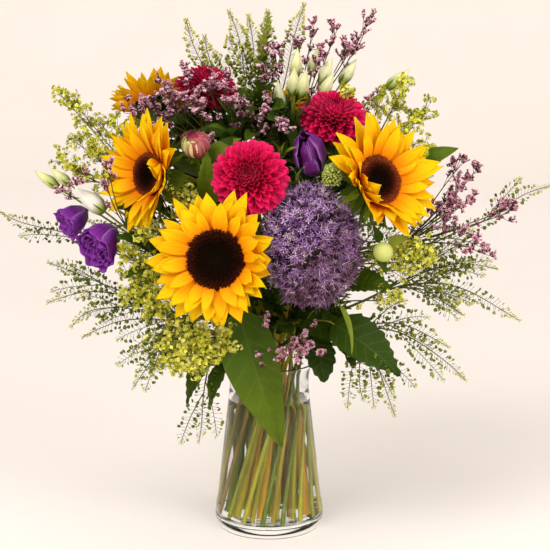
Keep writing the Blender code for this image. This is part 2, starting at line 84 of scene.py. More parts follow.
# unopened dahlia: radius of the bud
DAHLIA_BUDS = [
    ("half_open", "inner", (-0.080, -0.104, 0.466), (-0.10, -0.60, 0.80), 0.0155),
    ("green", "outer", (0.124, -0.134, 0.352), (0.30, -0.90, 0.30), 0.0110),
]
THROATWORT = ("middle", (0.048, -0.116, 0.356), (0.18, -0.96, 0.16), 0.061)
# lisianthus: name, ring, fork of the stem, open blooms as (name, base, way it faces, length, mouth radius)
# and the tips of the buds
LISIANTHUS = [
    ("left", "outer", (-0.120, -0.062, 0.338),
     [("low", (-0.173, -0.056, 0.366), (-0.50, -0.72, -0.48), 0.044, 0.024),
      ("high", (-0.208, -0.028, 0.384), (-0.70, -0.56, -0.45), 0.034, 0.017)],
     [(-0.214, -0.066, 0.412), (-0.262, -0.020, 0.424)]),
    ("centre", "inner", (0.024, -0.050, 0.420),
     [("upright", (0.051, -0.094, 0.432), (-0.24, -0.36, 0.90), 0.050, 0.019)], []),
    ("buds", "inner", (0.036, -0.004, 0.450),
     [], [(0.010, -0.050, 0.532), (0.028, -0.060, 0.542), (0.056, -0.006, 0.566), (0.100, 0.014, 0.552),
          (0.156, 0.016, 0.536)]),
]
# sprays: name, ring, fork of the stem, tips of the side shoots
PENNYCRESS = [
    ("top_left", "core", (-0.046, 0.050, 0.455), [(-0.096, 0.046, 0.597), (-0.076, 0.066, 0.577)]),
    ("top", "core", (-0.006, 0.044, 0.440),
     [(-0.046, 0.046, 0.607), (-0.024, 0.058, 0.602), (-0.002, 0.012, 0.607), (0.040, 0.028, 0.614)]),
    ("left_high", "outer", (-0.186, 0.004, 0.340), [(-0.312, 0.000, 0.378)]),
    ("left", "outer", (-0.126, -0.046, 0.280),
     [(-0.254, -0.020, 0.322), (-0.246, -0.090, 0.288), (-0.218, -0.106, 0.264)]),
    ("left_low", "outer", (-0.090, -0.072, 0.262),
     [(-0.206, -0.104, 0.252), (-0.152, -0.124, 0.234), (-0.150, -0.118, 0.198)]),
    ("down_left", "outer", (-0.064, -0.074, 0.224), [(-0.079, -0.098, 0.130)]),
    ("right_high", "outer", (0.200, 0.012, 0.348), [(0.327, 0.004, 0.408)]),
    ("right", "outer", (0.146, -0.052, 0.306),
     [(0.284, -0.060, 0.262), (0.262, -0.030, 0.316), (0.216, -0.100, 0.276)]),
    ("right_low", "outer", (0.096, -0.068, 0.258),
     [(0.198, -0.122, 0.244), (0.217, -0.122, 0.207), (0.140, -0.122, 0.166), (0.104, -0.132, 0.186)]),
    ("back_left", "outer", (-0.110, 0.096, 0.320),
     [(-0.230, 0.130, 0.352), (-0.170, 0.210, 0.330), (-0.180, 0.150, 0.250)]),
    ("back_right", "outer", (0.110, 0.100, 0.320),
     [(0.230, 0.130, 0.340), (0.150, 0.220, 0.350), (0.160, 0.170, 0.240)]),
]
STATICE = [
    ("top_left", "inner", (-0.052, -0.030, 0.452),
     [(-0.118, -0.058, 0.526), (-0.050, -0.070, 0.528), (-0.030, -0.062, 0.498)]),
    ("top", "inner", (0.034, 0.052, 0.460),
     [(-0.004, -0.030, 0.548), (0.050, 0.004, 0.586), (0.112, 0.036, 0.592)]),
    ("right", "middle", (0.160, -0.036, 0.350),
     [(0.214, -0.056, 0.396), (0.270, -0.052, 0.384), (0.232, -0.066, 0.350), (0.234, -0.016, 0.424)]),
    ("front", "outer", (0.014, -0.068, 0.236), [(0.000, -0.100, 0.226), (0.036, -0.104, 0.242)]),
    ("back", "middle", (0.080, 0.090, 0.400), [(0.110, 0.130, 0.480), (0.150, 0.120, 0.430)]),
]
LADYS_MANTLE = [
    ("left", "middle", (-0.130, 0.000, 0.386),
     [(-0.214, -0.030, 0.458), (-0.240, 0.004, 0.514), (-0.196, 0.020, 0.480)]),
    ("low_left", "outer", (-0.058, -0.074, 0.238),
     [(-0.074, -0.112, 0.246), (-0.116, -0.104, 0.222), (-0.138, -0.088, 0.312)]),
    ("right", "middle", (0.110, 0.010, 0.420),
     [(0.164, -0.014, 0.486), (0.186, 0.000, 0.446), (0.132, 0.026, 0.510)]),
    ("back", "outer", (-0.010, 0.130, 0.310), [(-0.020, 0.190, 0.340), (0.040, 0.190, 0.320)]),
]
# leaf: stem it grows on, height at which it leaves the stem, base of the blade, tip, the way its upper side
# faces, width
LEAVES = [
    ("sunflower_front", 0.232, (-0.034, -0.088, 0.280), (0.014, -0.088, 0.128), (-0.15, -0.98, 0.10), 0.064),
    ("sunflower_left", 0.226, (-0.060, -0.046, 0.240), (-0.092, -0.066, 0.168), (-0.50, -0.80, 0.30), 0.026),
    ("dahlia_bud_green", 0.256, (0.072, -0.090, 0.264), (0.143, -0.116, 0.212), (0.25, -0.85, 0.45), 0.048),
    ("sunflower_right", 0.300, (0.090, -0.064, 0.306), (0.136, -0.092, 0.304), (0.10, -0.75, 0.65), 0.032),
    ("sunflower_right", 0.330, (0.150, -0.020, 0.420), (0.212, -0.040, 0.454), (-0.30, -0.75, 0.58), 0.028),
    ("dahlia_bud_green", 0.232, (0.050, -0.066, 0.246), (0.062, -0.088, 0.198), (0.30, -0.95, 0.10), 0.034),
    ("dahlia_bud_half_open", 0.340, (-0.066, -0.088, 0.396), (-0.068, -0.108, 0.458), (0.05, -0.97, 0.25),
     0.024),
    ("sunflower_back", 0.250, (0.010, 0.090, 0.290), (0.050, 0.150, 0.240), (0.10, 0.70, 0.70), 0.060),
    ("dahlia_back", 0.300, (-0.052, 0.112, 0.320), (-0.064, 0.150, 0.236), (-0.20, 0.95, 0.25), 0.056),
]

SUNFLOWER_STEM = 0.0042
DAHLIA_STEM = 0.0028
THROATWORT_STEM = 0.0030
LISIANTHUS_STEM = 0.0024
SPRAY_STEM = 0.0020
LEAF_STALK = 0.0014


# ---- vectors ----
def vec(*xyz):
    return np.array(xyz, float)


def unit(v):
    v = np.asarray(v, float)
    return v / np.maximum(np.linalg.norm(v, axis=-1, keepdims=True), 1e-9)


def facing_frame(facing):
    """A rotation whose third column is the way faced, and whose second is as near up as it can be."""
    z = unit(facing)
    up = (0, 1, 0) if abs(z[2]) > 0.98 else (0, 0, 1)
    x = unit(np.cross(up, z))
    return np.column_stack([x, np.cross(z, x), z])


def turn(axis, angle):
    """A rotation about a coordinate axis, 0, 1 or 2."""
    c, s = math.cos(angle), math.sin(angle)
    a, b = [(1, 2), (2, 0), (0, 1)][axis]
    made = np.eye(3)
    made[a, a] = made[b, b] = c
    made[a, b], made[b, a] = -s, s
    return made


def ease(low, high, x):
    """0 below low, 1 above high, and a soft step between them."""
    t = np.clip((np.asarray(x, float) - low) / (high - low), 0, 1)
    return t * t * (3 - 2 * t)


def tone_rows(first, third):
    """A tone for each point, from its first and third numbers."""
    first, third = np.broadcast_arrays(first, third)
    return np.column_stack([first, np.zeros(len(first)), third])


# ---- a piece being put together ----
class Cloud:
    """Points, faces, a tone (three numbers) at each point and a material number at each face."""

    def __init__(self):
        self.points, self.tones, self.faces, self.slots = [], [], [], []
        self.count = 0

    def add(self, points, faces, tones, slot=0):
        points = np.asarray(points, float).reshape(-1, 3)
        self.points.append(points)
        self.tones.append(np.broadcast_to(np.asarray(tones, float), points.shape))
        self.faces.append(np.asarray(faces) + self.count)
        self.slots.append(np.full(len(self.faces[-1]), slot))
        self.count += len(points)

    def sheet(self, grid, tones, slot=0, closed=False):
        """A grid of points (rows, columns, 3), its last column joined to its first if closed."""
        rows, cols = grid.shape[:2]
        tones = tones.reshape(-1, 3) if np.ndim(tones) == 3 else tones
        self.add(grid, sheet_faces(rows, cols, closed), tones, slot)

    def mesh(self, name):
        points = np.concatenate(self.points)
        loops = np.concatenate([f.ravel() for f in self.faces])
        sizes = np.concatenate([np.full(len(f), f.shape[1]) for f in self.faces])
        made = bpy.data.meshes.new(name)
        made.vertices.add(len(points))
        made.vertices.foreach_set("co", points.ravel())
        made.loops.add(len(loops))
        made.loops.foreach_set("vertex_index", loops)
        made.polygons.add(len(sizes))
        made.polygons.foreach_set("loop_start", np.concatenate([[0], sizes.cumsum()[:-1]]))
        made.polygons.foreach_set("material_index", np.concatenate(self.slots))
        made.update(calc_edges=True)
        tone = made.color_attributes.new("tone", "FLOAT_COLOR", "POINT")
        colours = np.column_stack([np.concatenate(self.tones), np.ones(len(points))])
        tone.data.foreach_set("color", colours.ravel())
        made.shade_smooth()
        return made


def sheet_faces(rows, cols, closed=False):
    index = np.arange(rows * cols).reshape(rows, cols)
    if closed:
        index = np.column_stack([index, index[:, 0]])
    a, b, c, d = index[:-1, :-1], index[:-1, 1:], index[1:, 1:], index[1:, :-1]
    return np.stack([a, b, c, d], axis=-1).reshape(-1, 4)


def show(cloud, name, slot, looks, *replaced):
    """Makes a piece of what was put together, riding with the vase. Its looks are named as in LOOKS."""
    made = bpy.data.objects.new(name, cloud.mesh(name))
    bpy.context.scene.collection.objects.link(made)
    for look in looks:
        made.data.materials.append(LOOKS[look])
    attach(made, "root")
    if replaced:
        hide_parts(*replaced)
    return made


# ---- shapes ----
def along_path(path):
    """Distance travelled at each point of a path."""
    return np.concatenate([[0], np.linalg.norm(np.diff(path, axis=0), axis=1).cumsum()])


def resample(path, count):
    """The same path with evenly spaced points."""
    way = along_path(path)
    at = np.linspace(0, way[-1], count)
    return np.column_stack([np.interp(at, way, path[:, i]) for i in range(3)])


def tube(cloud, path, radii, tones, sides=6, slot=0, ribs=0.0):
    """A closed tube along a path, with its ends capped."""
    path = np.asarray(path, float)
    n = len(path)
    radii = np.broadcast_to(np.asarray(radii, float), (n,))
    forward = unit(np.gradient(path, axis=0))
    side = unit(np.cross(forward[0], (0.31, 0.87, 0.38)))
    frames = np.empty((n, 2, 3))
    for i in range(n):
        side = unit(side - forward[i] * (side @ forward[i]))
        frames[i] = side, np.cross(forward[i], side)
    angles = np.linspace(0, 2 * np.pi, sides, endpoint=False)
    swell = 1 + ribs * np.cos(angles * (sides // 2))
    ring = np.stack([np.cos(angles) * swell, np.sin(angles) * swell], axis=-1)
    grid = path[:, None] + radii[:, None, None] * np.einsum("sk,nkd->nsd", ring, frames)
    tones = np.asarray(tones, float)
    tones = np.broadcast_to(tones[:, None] if tones.ndim == 2 else tones, grid.shape)
    cloud.sheet(grid, tones, slot, closed=True)
    for end, turned in ((0, 1), (n - 1, -1)):
        ring_index = np.arange(sides)[::turned]
        fan = np.column_stack([np.full(sides, sides), np.roll(ring_index, -1), ring_index])
        cloud.add(np.vstack([grid[end], path[end]]), fan, tones[end, 0], slot)


def sticks(cloud, starts, ends, radius, tones, tip_share=0.7, slot=0):
    """Many thin straight three-sided stalks at once, tip_share times as thick at their ends."""
    sides = 3
    starts, ends = np.asarray(starts, float), np.asarray(ends, float)
    n = len(starts)
    forward = unit(ends - starts)
    side = unit(np.cross(forward, np.where(np.abs(forward[:, 2:]) > 0.9, [[1.0, 0, 0]], [[0, 0, 1.0]])))
    other = np.cross(forward, side)
    radius = np.broadcast_to(np.asarray(radius, float), (n,))[:, None]
    rings = []
    for base, share in ((starts, 1.0), (ends, tip_share)):
        for k in range(sides):
            a = 2 * math.pi * k / sides
            rings.append(base + radius * share * (math.cos(a) * side + math.sin(a) * other))
    points = np.stack(rings, axis=1)
    faces = [[k, (k + 1) % sides, sides + (k + 1) % sides, sides + k] for k in range(sides)]
    faces = (np.array(faces)[None] + (np.arange(n) * 2 * sides)[:, None, None]).reshape(-1, 4)
    tones = np.asarray(tones, float)
    tones = np.repeat(tones, 2 * sides, axis=0) if tones.ndim == 2 else tones
    cloud.add(points, faces, tones, slot)


def stamp(cloud, shape, origins, axes, sizes, tones, spin, slot=0):
    """Copies of a small shape (points, faces, tones), each with its +Z along its axis.

    Each copy's tone is added to the shape's own.
    """
    points, faces, own = shape
    origins, axes = np.asarray(origins, float), unit(axes)
    n = len(origins)
    helper = np.where(np.abs(axes[:, 2:]) > 0.9, [[1.0, 0, 0]], [[0, 0, 1.0]])
    x = unit(np.cross(helper, axes))
    y = np.cross(axes, x)
    spin = np.asarray(spin)[:, None]
    x, y = x * np.cos(spin) + y * np.sin(spin), y * np.cos(spin) - x * np.sin(spin)
    sizes = np.broadcast_to(np.asarray(sizes, float), (n,))
    placed = (
        points[None, :, :1] * x[:, None]
        + points[None, :, 1:2] * y[:, None]
        + points[None, :, 2:] * axes[:, None]
    )
    placed = origins[:, None] + placed * sizes[:, None, None]
    all_faces = (faces[None] + (np.arange(n) * len(points))[:, None, None]).reshape(-1, faces.shape[1])
    tones = np.broadcast_to(np.asarray(tones, float), (n, 3))
    cloud.add(placed, all_faces, (own[None] + tones[:, None]).reshape(-1, 3), slot)


def lathe(cloud, profile, sides, tone=(0, 0, 0), slot=0, rotation=None, origin=(0, 0, 0)):
    """A surface of revolution about +Z. A profile that starts and ends on the axis makes it closed."""
    profile = np.asarray(profile, float)
    a = np.linspace(0, 2 * np.pi, sides, endpoint=False)
    radius, height = profile[:, :1], np.repeat(profile[:, 1:2], sides, 1)
    grid = np.stack([radius * np.cos(a), radius * np.sin(a), height], axis=-1)
    if rotation is not None:
        grid = grid @ rotation.T
    tones = np.asarray(tone, float)
    tones = np.repeat(tones[:, None], sides, 1) if tones.ndim == 2 else tones
    cloud.sheet(grid + np.asarray(origin), tones, slot, closed=True)


def smooth_profile(points, per=6):
    """Points of a soft curve through a turned profile (Catmull-Rom)."""
    p = np.asarray(points, float)
    p = np.vstack([2 * p[0] - p[1], p, 2 * p[-1] - p[-2]])
    made = []
    for i in range(1, len(p) - 2):
        t = np.linspace(0, 1, per, endpoint=False)[:, None]
        a, b, c, d = p[i - 1], p[i], p[i + 1], p[i + 2]
        made.append(0.5 * (2 * b + (c - a) * t + (2 * a - 5 * b + 4 * c - d) * t**2
                           + (3 * b - a - 3 * c + d) * t**3))
    return np.vstack(made + [p[-2:-1]])


def blade(length, width, outline, rows, cols, lift=(0.0, 0.0), cup=0.0, cup_out=None, ridge=0.0, sway=0.0,
          ruffle=0.0, rand=0.5, phase=0.0, fold=0.0):
    """A petal or leaf along +X with its upper side to +Z.

    outline gives places from base (0) to tip (1) and the share of the width at each, lift the slope at base
    and tip, and cup (cup_out at the tip) how far the sides bend up.
    """
    t = np.linspace(0, 1, rows)
    s = np.linspace(-1, 1, cols)
    slope = lift[0] + (lift[1] - lift[0]) * t
    step = length / (rows - 1)
    x = np.concatenate([[0], (np.cos(slope[:-1]) * step).cumsum()])
    z = np.concatenate([[0], (np.sin(slope[:-1]) * step).cumsum()])
    half = 0.5 * width * np.interp(t, *outline)
    bend = cup + ((cup if cup_out is None else cup_out) - cup) * t
    bend = np.where(np.abs(bend) < 1e-3, 1e-3, bend)[:, None]
    across = half[:, None] * np.sin(bend * s) / bend
    up = half[:, None] * (1 - np.cos(bend * s)) / bend + fold * half[:, None] * np.abs(s)
    up = up + ridge * np.cos(3 * np.pi * s)[None] * np.sin(np.pi * t)[:, None]
    up = up + ruffle * (t**2)[:, None] * np.sin(5 * s + 9 * t[:, None] + phase) * np.abs(s)
    across = across + sway * (t**2)[:, None]
    grid = np.stack([
        x[:, None] - np.sin(slope)[:, None] * up,
        across,
        z[:, None] + np.cos(slope)[:, None] * up,
    ], axis=-1)
    tones = np.stack([np.repeat(t[:, None], cols, 1), np.abs(s)[None].repeat(rows, 0),
                      np.full((rows, cols), rand)], -1)
    return grid, tones


def around(grid, azimuth, turned, origin):
    """A blade swung about its flower's axis and set in its place."""
    return grid @ turn(2, azimuth).T @ turned.T + origin


def bezier(a, b, c, d, steps):
    t = np.linspace(0, 1, steps + 1)[:, None]
    return (1 - t) ** 3 * a + 3 * (1 - t) ** 2 * t * b + 3 * (1 - t) * t**2 * c + t**3 * d


def on_ring(radius, angle, height):
    return vec(radius * math.cos(angle), radius * math.sin(angle), height)


# ---- paths of the stems, as in the solids ----
def all_stems():
    stems = [(f"sunflower_{n}", ring, at) for n, ring, at, *_ in SUNFLOWERS]
    stems += [(f"dahlia_{n}", ring, at) for n, ring, at, *_ in DAHLIAS]
    stems += [(f"dahlia_bud_{n}", ring, at) for n, ring, at, *_ in DAHLIA_BUDS]
    stems += [("throatwort", THROATWORT[0], THROATWORT[1])]
    stems += [(f"lisianthus_{n}", ring, fork) for n, ring, fork, *_ in LISIANTHUS]
    stems += [(f"pennycress_{n}", ring, fork) for n, ring, fork, _ in PENNYCRESS]
    stems += [(f"statice_{n}", ring, fork) for n, ring, fork, _ in STATICE]
    stems += [(f"ladys_mantle_{n}", ring, fork) for n, ring, fork, _ in LADYS_MANTLE]
    return stems


def tie_angles():
    """Each stem's ring and its angle at the tie: a ring's stems stand evenly, in their blooms' order."""
    angles = {}
    for ring in RINGS:
        members = sorted((math.atan2(at[1], at[0]), key) for key, r, at in all_stems() if r == ring)
        step = 2 * math.pi / len(members)
        drift = sum(angle - i * step for i, (angle, _) in enumerate(members)) / len(members)
        for i, (_, key) in enumerate(members):
            angles[key] = (ring, i * step + drift - LEAD)
    return angles


ANGLES = tie_angles()


def stem_path(key, end, facing):
    """Straight through the vase and the tie, then one curve to its end, where it faces the way given."""
    ring, angle = ANGLES[key]
    foot_radius, tie_radius = RINGS[ring]
    foot = on_ring(foot_radius, angle - TWIST, FOOT_HEIGHT)
    tie = on_ring(tie_radius, angle, TIE_HEIGHT)
    end = np.asarray(end, float)
    reach = np.linalg.norm(end - tie)
    leave = tie + unit(tie - foot) * reach * 0.42
    arrive = end - unit(facing) * reach * 0.40
    straight = foot + (tie - foot) * np.linspace(0, 1, 6, endpoint=False)[:, None]
    return np.vstack([straight, bezier(tie, leave, arrive, end, 22)])


def shoot_path(trunk, share, tip, droop=0.0):
    """A side shoot from a share of the way along a stem to its tip, which hangs if it droops."""
    index = min(len(trunk) - 2, int(share * (len(trunk) - 1)))
    start, along = trunk[index], unit(trunk[index + 1] - trunk[index])
    tip = np.asarray(tip, float)
    reach = np.linalg.norm(tip - start)
    toward = unit(tip - start)
    arrive = tip - (toward + vec(0, 0, -droop)) * reach * 0.35
    return bezier(start, start + along * reach * 0.35, arrive, tip, 16)


def point_at_height(path, height):
    for a, b in zip(path, path[1:]):
        if a[2] <= height <= b[2]:
            return a + (b - a) * (height - a[2]) / (b[2] - a[2])
    return path[-1]


# ---- materials ----
class Look:
    """A node material being wired up. Factors come from the tone that each point carries."""

    def __init__(self, name, roughness=0.5, **inputs):
        self.material = bpy.data.materials.new(name)
        self.material.use_nodes = True
        self.tree = self.material.node_tree
        self.shader = self.tree.nodes["Principled BSDF"]
        self.out = self.tree.nodes["Material Output"]
        self.shader.inputs["Roughness"].default_value = roughness
        for key, value in inputs.items():
            self.shader.inputs[key.replace("_", " ")].default_value = value
        self.base = self._tone = None

    def node(self, kind, **settings):
        made = self.tree.nodes.new("ShaderNode" + kind)
        for key, value in settings.items():
            setattr(made, key, value)
        return made

    def feed(self, socket, value):
        if isinstance(value, bpy.types.NodeSocket):
            self.tree.links.new(value, socket)
        else:
            socket.default_value = value

    def tone(self, channel):
        if self._tone is None:
            source = self.node("Attribute", attribute_name="tone")
            self._tone = self.node("SeparateColor")
            self.feed(self._tone.inputs[0], source.outputs["Color"])
        return self._tone.outputs[channel]

    def math(self, operation, a, b=0.0, c=0.0):
        made = self.node("Math", operation=operation)
        for socket, value in zip(made.inputs, (a, b, c)):
            self.feed(socket, value)
        return made.outputs[0]

    def ramp(self, factor, *stops):
        made = self.node("ValToRGB")
        elements = made.color_ramp.elements
        while len(elements) > 1:
            elements.remove(elements[-1])
        elements[0].position, elements[0].color = stops[0][0], (*stops[0][1], 1)
        for at, colour in stops[1:]:
            elements.new(at).color = (*colour, 1)
        self.feed(made.inputs[0], factor)
        return made.outputs[0]

    def noise(self, scale, detail=3.0, stretch=None):
        made = self.node("TexNoise")
        made.inputs["Scale"].default_value = scale
        made.inputs["Detail"].default_value = detail
        place = self.node("TexCoord").outputs["Object"]
        if stretch:
            mapping = self.node("Mapping")
            mapping.inputs["Scale"].default_value = stretch
            self.feed(mapping.inputs[0], place)
            place = mapping.outputs[0]
        self.feed(made.inputs["Vector"], place)
        return made.outputs[0]

    def mix(self, factor, a, b, blend="MIX"):
        made = self.node("Mix", data_type="RGBA", blend_type=blend)
        self.feed(made.inputs[0], factor)
        for socket, value in ((made.inputs[6], a), (made.inputs[7], b)):
            self.feed(socket, (*value, 1) if isinstance(value, tuple) else value)
        return made.outputs[2]

    def tint(self, colour, factor, share, other):
        """The colour, with up to a share of another mixed in by the factor."""
        return self.mix(self.math("MULTIPLY", factor, share), colour, other)

    def colour(self, value):
        self.base = value
        self.feed(self.shader.inputs["Base Color"], value)

    def brightness(self, colour, factor, low, high):
        """The colour with its brightness between low and high as the factor goes from 0 to 1."""
        scale = self.math("MULTIPLY_ADD", factor, high - low, low)
        grey = self.node("CombineColor")
        for socket in grey.inputs:
            self.feed(socket, scale)
        return self.mix(1.0, colour, grey.outputs[0], "MULTIPLY")

    def bump(self, height, distance, strength):
        made = self.node("Bump")
        made.inputs["Strength"].default_value = strength
        made.inputs["Distance"].default_value = distance
        self.feed(made.inputs["Height"], height)
        self.feed(self.shader.inputs["Normal"], made.outputs[0])

    def thin(self, share):
        """Lets light through, as a petal or leaf does."""
        back = self.node("BsdfTranslucent")
        self.feed(back.inputs[0], self.base)
        both = self.node("MixShader")
        both.inputs[0].default_value = share
        self.feed(both.inputs[1], self.shader.outputs[0])
        self.feed(both.inputs[2], back.outputs[0])
        self.feed(self.out.inputs[0], both.outputs[0])

    def rim(self, sharpness):
        """0 along a petal's middle, 1 at its edges."""
        return self.math("POWER", self.tone(1), sharpness)

    def striped(self, stripes):
        """Fine lines that run along a petal, 0 to 1."""
        wave = self.math("SINE", self.math("MULTIPLY", self.tone(1), stripes))
        return self.math("MULTIPLY_ADD", wave, 0.5, 0.5)


def petal_looks():
    """Sunflower, dahlia and lisianthus petals, and the petals of a dahlia's bud."""
    ray = Look("sunflower_ray", 0.62, Specular_IOR_Level=0.10)
    # orange at each ray's foot and yellow to its tip: the petals' own colour partly, and partly painted shade
    # where the rays overlap near the disc
    base = ray.ramp(
        ray.tone(0),
        (0.0, (0.75, 0.14, 0.0)), (0.20, (1.0, 0.29, 0.0)), (0.46, (1.0, 0.49, 0.0)),
        (0.70, (1.0, 0.64, 0.001)), (1.0, (1.0, 0.76, 0.003)),
    )
    base = ray.tint(ray.brightness(base, ray.striped(26), 0.86, 1.0), ray.tone(2), 0.55, (1.0, 0.38, 0.0))
    ray.colour(ray.brightness(base, ray.noise(90), 0.94, 1.06))
    ray.bump(ray.striped(34), 0.0004, 0.5)
    ray.thin(0.30)

    dahlia_petal = Look("dahlia_petal", 0.60, Specular_IOR_Level=0.12)
    # dark at each petal's foot and lighter towards its tip: painted shade between the packed petals
    base = dahlia_petal.ramp(
        dahlia_petal.tone(0),
        (0.0, (0.12, 0.0, 0.010)), (0.35, (0.46, 0.0, 0.038)), (0.75, (0.80, 0.004, 0.100)),
        (1.0, (0.95, 0.022, 0.18)),
    )
    # pinker towards the petal edges: painted highlight
    base = dahlia_petal.tint(base, dahlia_petal.rim(5.0), 0.60, (0.92, 0.16, 0.36))
    # mixed towards dark maroon by each petal's shade value, which is painted shade on the innermost petals
    # and otherwise random or the top bloom's darker tone
    base = dahlia_petal.mix(dahlia_petal.tone(2), base, (0.24, 0.0, 0.012))
    dahlia_petal.colour(dahlia_petal.brightness(base, dahlia_petal.striped(22), 0.86, 1.06))
    dahlia_petal.bump(dahlia_petal.striped(22), 0.0004, 0.4)
    dahlia_petal.thin(0.16)

    bud = Look("bud_petal", 0.60, Specular_IOR_Level=0.12)
    base = bud.ramp(bud.tone(0), (0.3, (0.16, 0.012, 0.022)), (0.7, (0.42, 0.035, 0.085)),
                    (1.0, (0.62, 0.14, 0.18)))
    # paler pink at the petal edges: the petals' own pale outline partly, and partly painted highlight
    base = bud.tint(base, bud.rim(4.0), 0.62, (0.84, 0.42, 0.42))
    base = bud.tint(base, bud.tone(2), 0.6, (0.13, 0.035, 0.010))
    bud.colour(bud.brightness(base, bud.striped(18), 0.8, 1.1))
    bud.bump(bud.striped(18), 0.0004, 0.4)
    bud.thin(0.12)

    violet = Look("lisianthus_petal", 0.50, Specular_IOR_Level=0.15)
    base = violet.ramp(
        violet.tone(0), (0.0, (0.36, 0.30, 0.34)), (0.22, (0.24, 0.09, 0.30)), (0.55, (0.150, 0.012, 0.23)),
        (1.0, (0.29, 0.045, 0.42)),
    )
    base = violet.tint(base, violet.tone(2), 0.75, (0.085, 0.006, 0.075))
    # lighter lavender towards the petal edges: painted highlight
    base = violet.tint(base, violet.rim(6.0), 0.75, (0.46, 0.20, 0.60))
    violet.colour(violet.brightness(base, violet.striped(30), 0.82, 1.05))
    violet.bump(violet.striped(30), 0.0004, 0.35)
    violet.thin(0.18)
    return {"ray": ray, "dahlia": dahlia_petal, "bud_petal": bud, "lisianthus": violet}


def floret_look(name, stops, brightness, grain, roughness=0.85, shine=0.10, thin=0.0, channel=0):
    """Small parts whose colour follows one tone and whose brightness a noise or, without one, the third tone.

    brightness is the scale of that noise (or None) and the range from low to high, and grain the scale, depth
    and strength of the bump.
    """
    look = Look(name, roughness, Specular_IOR_Level=shine)
    scale, low, high = brightness
    factor = look.noise(scale) if scale else look.tone(2)
    look.colour(look.brightness(look.ramp(look.tone(channel), *stops), factor, low, high))
    look.bump(look.noise(grain[0]), *grain[1:])
    if thin:
        look.thin(thin)
    return look


def small_looks():
    """Florets, pods, buds and fine stalks."""
    throatwort_floret = Look("throatwort_floret", 0.85, Specular_IOR_Level=0.08)
    # its near-black low end colours the florets, stalks and inner dome deep in the head: painted shade
    base = throatwort_floret.ramp(
        throatwort_floret.tone(0),
        (0.0, (0.010, 0.012, 0.004)), (0.28, (0.060, 0.022, 0.055)), (0.55, (0.27, 0.11, 0.38)),
        (0.78, (0.54, 0.30, 0.70)), (1.0, (1.0, 0.80, 0.82)),
    )
    base = throatwort_floret.tint(base, throatwort_floret.tone(2), 0.70, (0.30, 0.17, 0.17))
    throatwort_floret.colour(throatwort_floret.brightness(base, throatwort_floret.noise(70), 0.55, 1.24))
    throatwort_floret.thin(0.12)

    pale_bud = Look("pale_bud", 0.50, Specular_IOR_Level=0.3)
    base = pale_bud.ramp(
        pale_bud.tone(0), (0.0, (0.17, 0.25, 0.025)), (0.30, (0.44, 0.50, 0.10)), (0.70, (0.74, 0.72, 0.30)),
        (1.0, (0.55, 0.60, 0.18)),
    )
    base = pale_bud.mix(pale_bud.tone(2), base, (0.86, 0.84, 0.76))
    pale_bud.colour(pale_bud.brightness(base, pale_bud.noise(160), 0.88, 1.08))
    pale_bud.bump(pale_bud.noise(400), 0.0003, 0.3)
    pale_bud.thin(0.15)

    return {
        "throatwort": throatwort_floret,
        "bud": pale_bud,
        "disc": floret_look(
            "sunflower_disc",
            ((0.0, (0.008, 0.005, 0.002)), (0.38, (0.008, 0.003, 0.001)), (0.62, (0.016, 0.004, 0.002)),
             (0.84, (0.055, 0.010, 0.004)), (1.0, (0.17, 0.034, 0.010))),
            (None, 0.6, 1.5), (900, 0.0005, 0.6), roughness=1.0, shine=0.03,
        ),
        "statice": floret_look(
            "statice_floret",
            ((0.0, (0.09, 0.030, 0.03)), (0.40, (0.40, 0.11, 0.19)), (0.70, (0.76, 0.40, 0.48)),
             (1.0, (0.95, 0.76, 0.78))),
            (None, 0.7, 1.15), (700, 0.0003, 0.5), thin=0.15,
        ),
        "wiry": floret_look(
            "wiry_stalk", ((0.0, (0.045, 0.035, 0.016)), (0.5, (0.08, 0.075, 0.020)),
                           (1.0, (0.10, 0.145, 0.02))),
            (300, 0.7, 1.2), (900, 0.0002, 0.5), channel=2,
        ),
        "mantle": floret_look(
            "mantle_floret", ((0.0, (0.20, 0.23, 0.008)), (0.5, (0.62, 0.60, 0.03)),
                              (1.0, (0.96, 0.92, 0.26))),
            (None, 0.65, 1.15), (800, 0.0003, 0.4), thin=0.2,
        ),
        "pod": floret_look(
            "pennycress_pod",
            ((0.0, (0.035, 0.055, 0.006)), (0.40, (0.11, 0.16, 0.014)), (0.72, (0.36, 0.40, 0.05)),
             (1.0, (0.78, 0.74, 0.20))),
            (260, 0.75, 1.2), (700, 0.0003, 0.4), roughness=0.75, shine=0.12, thin=0.15,
        ),
    }


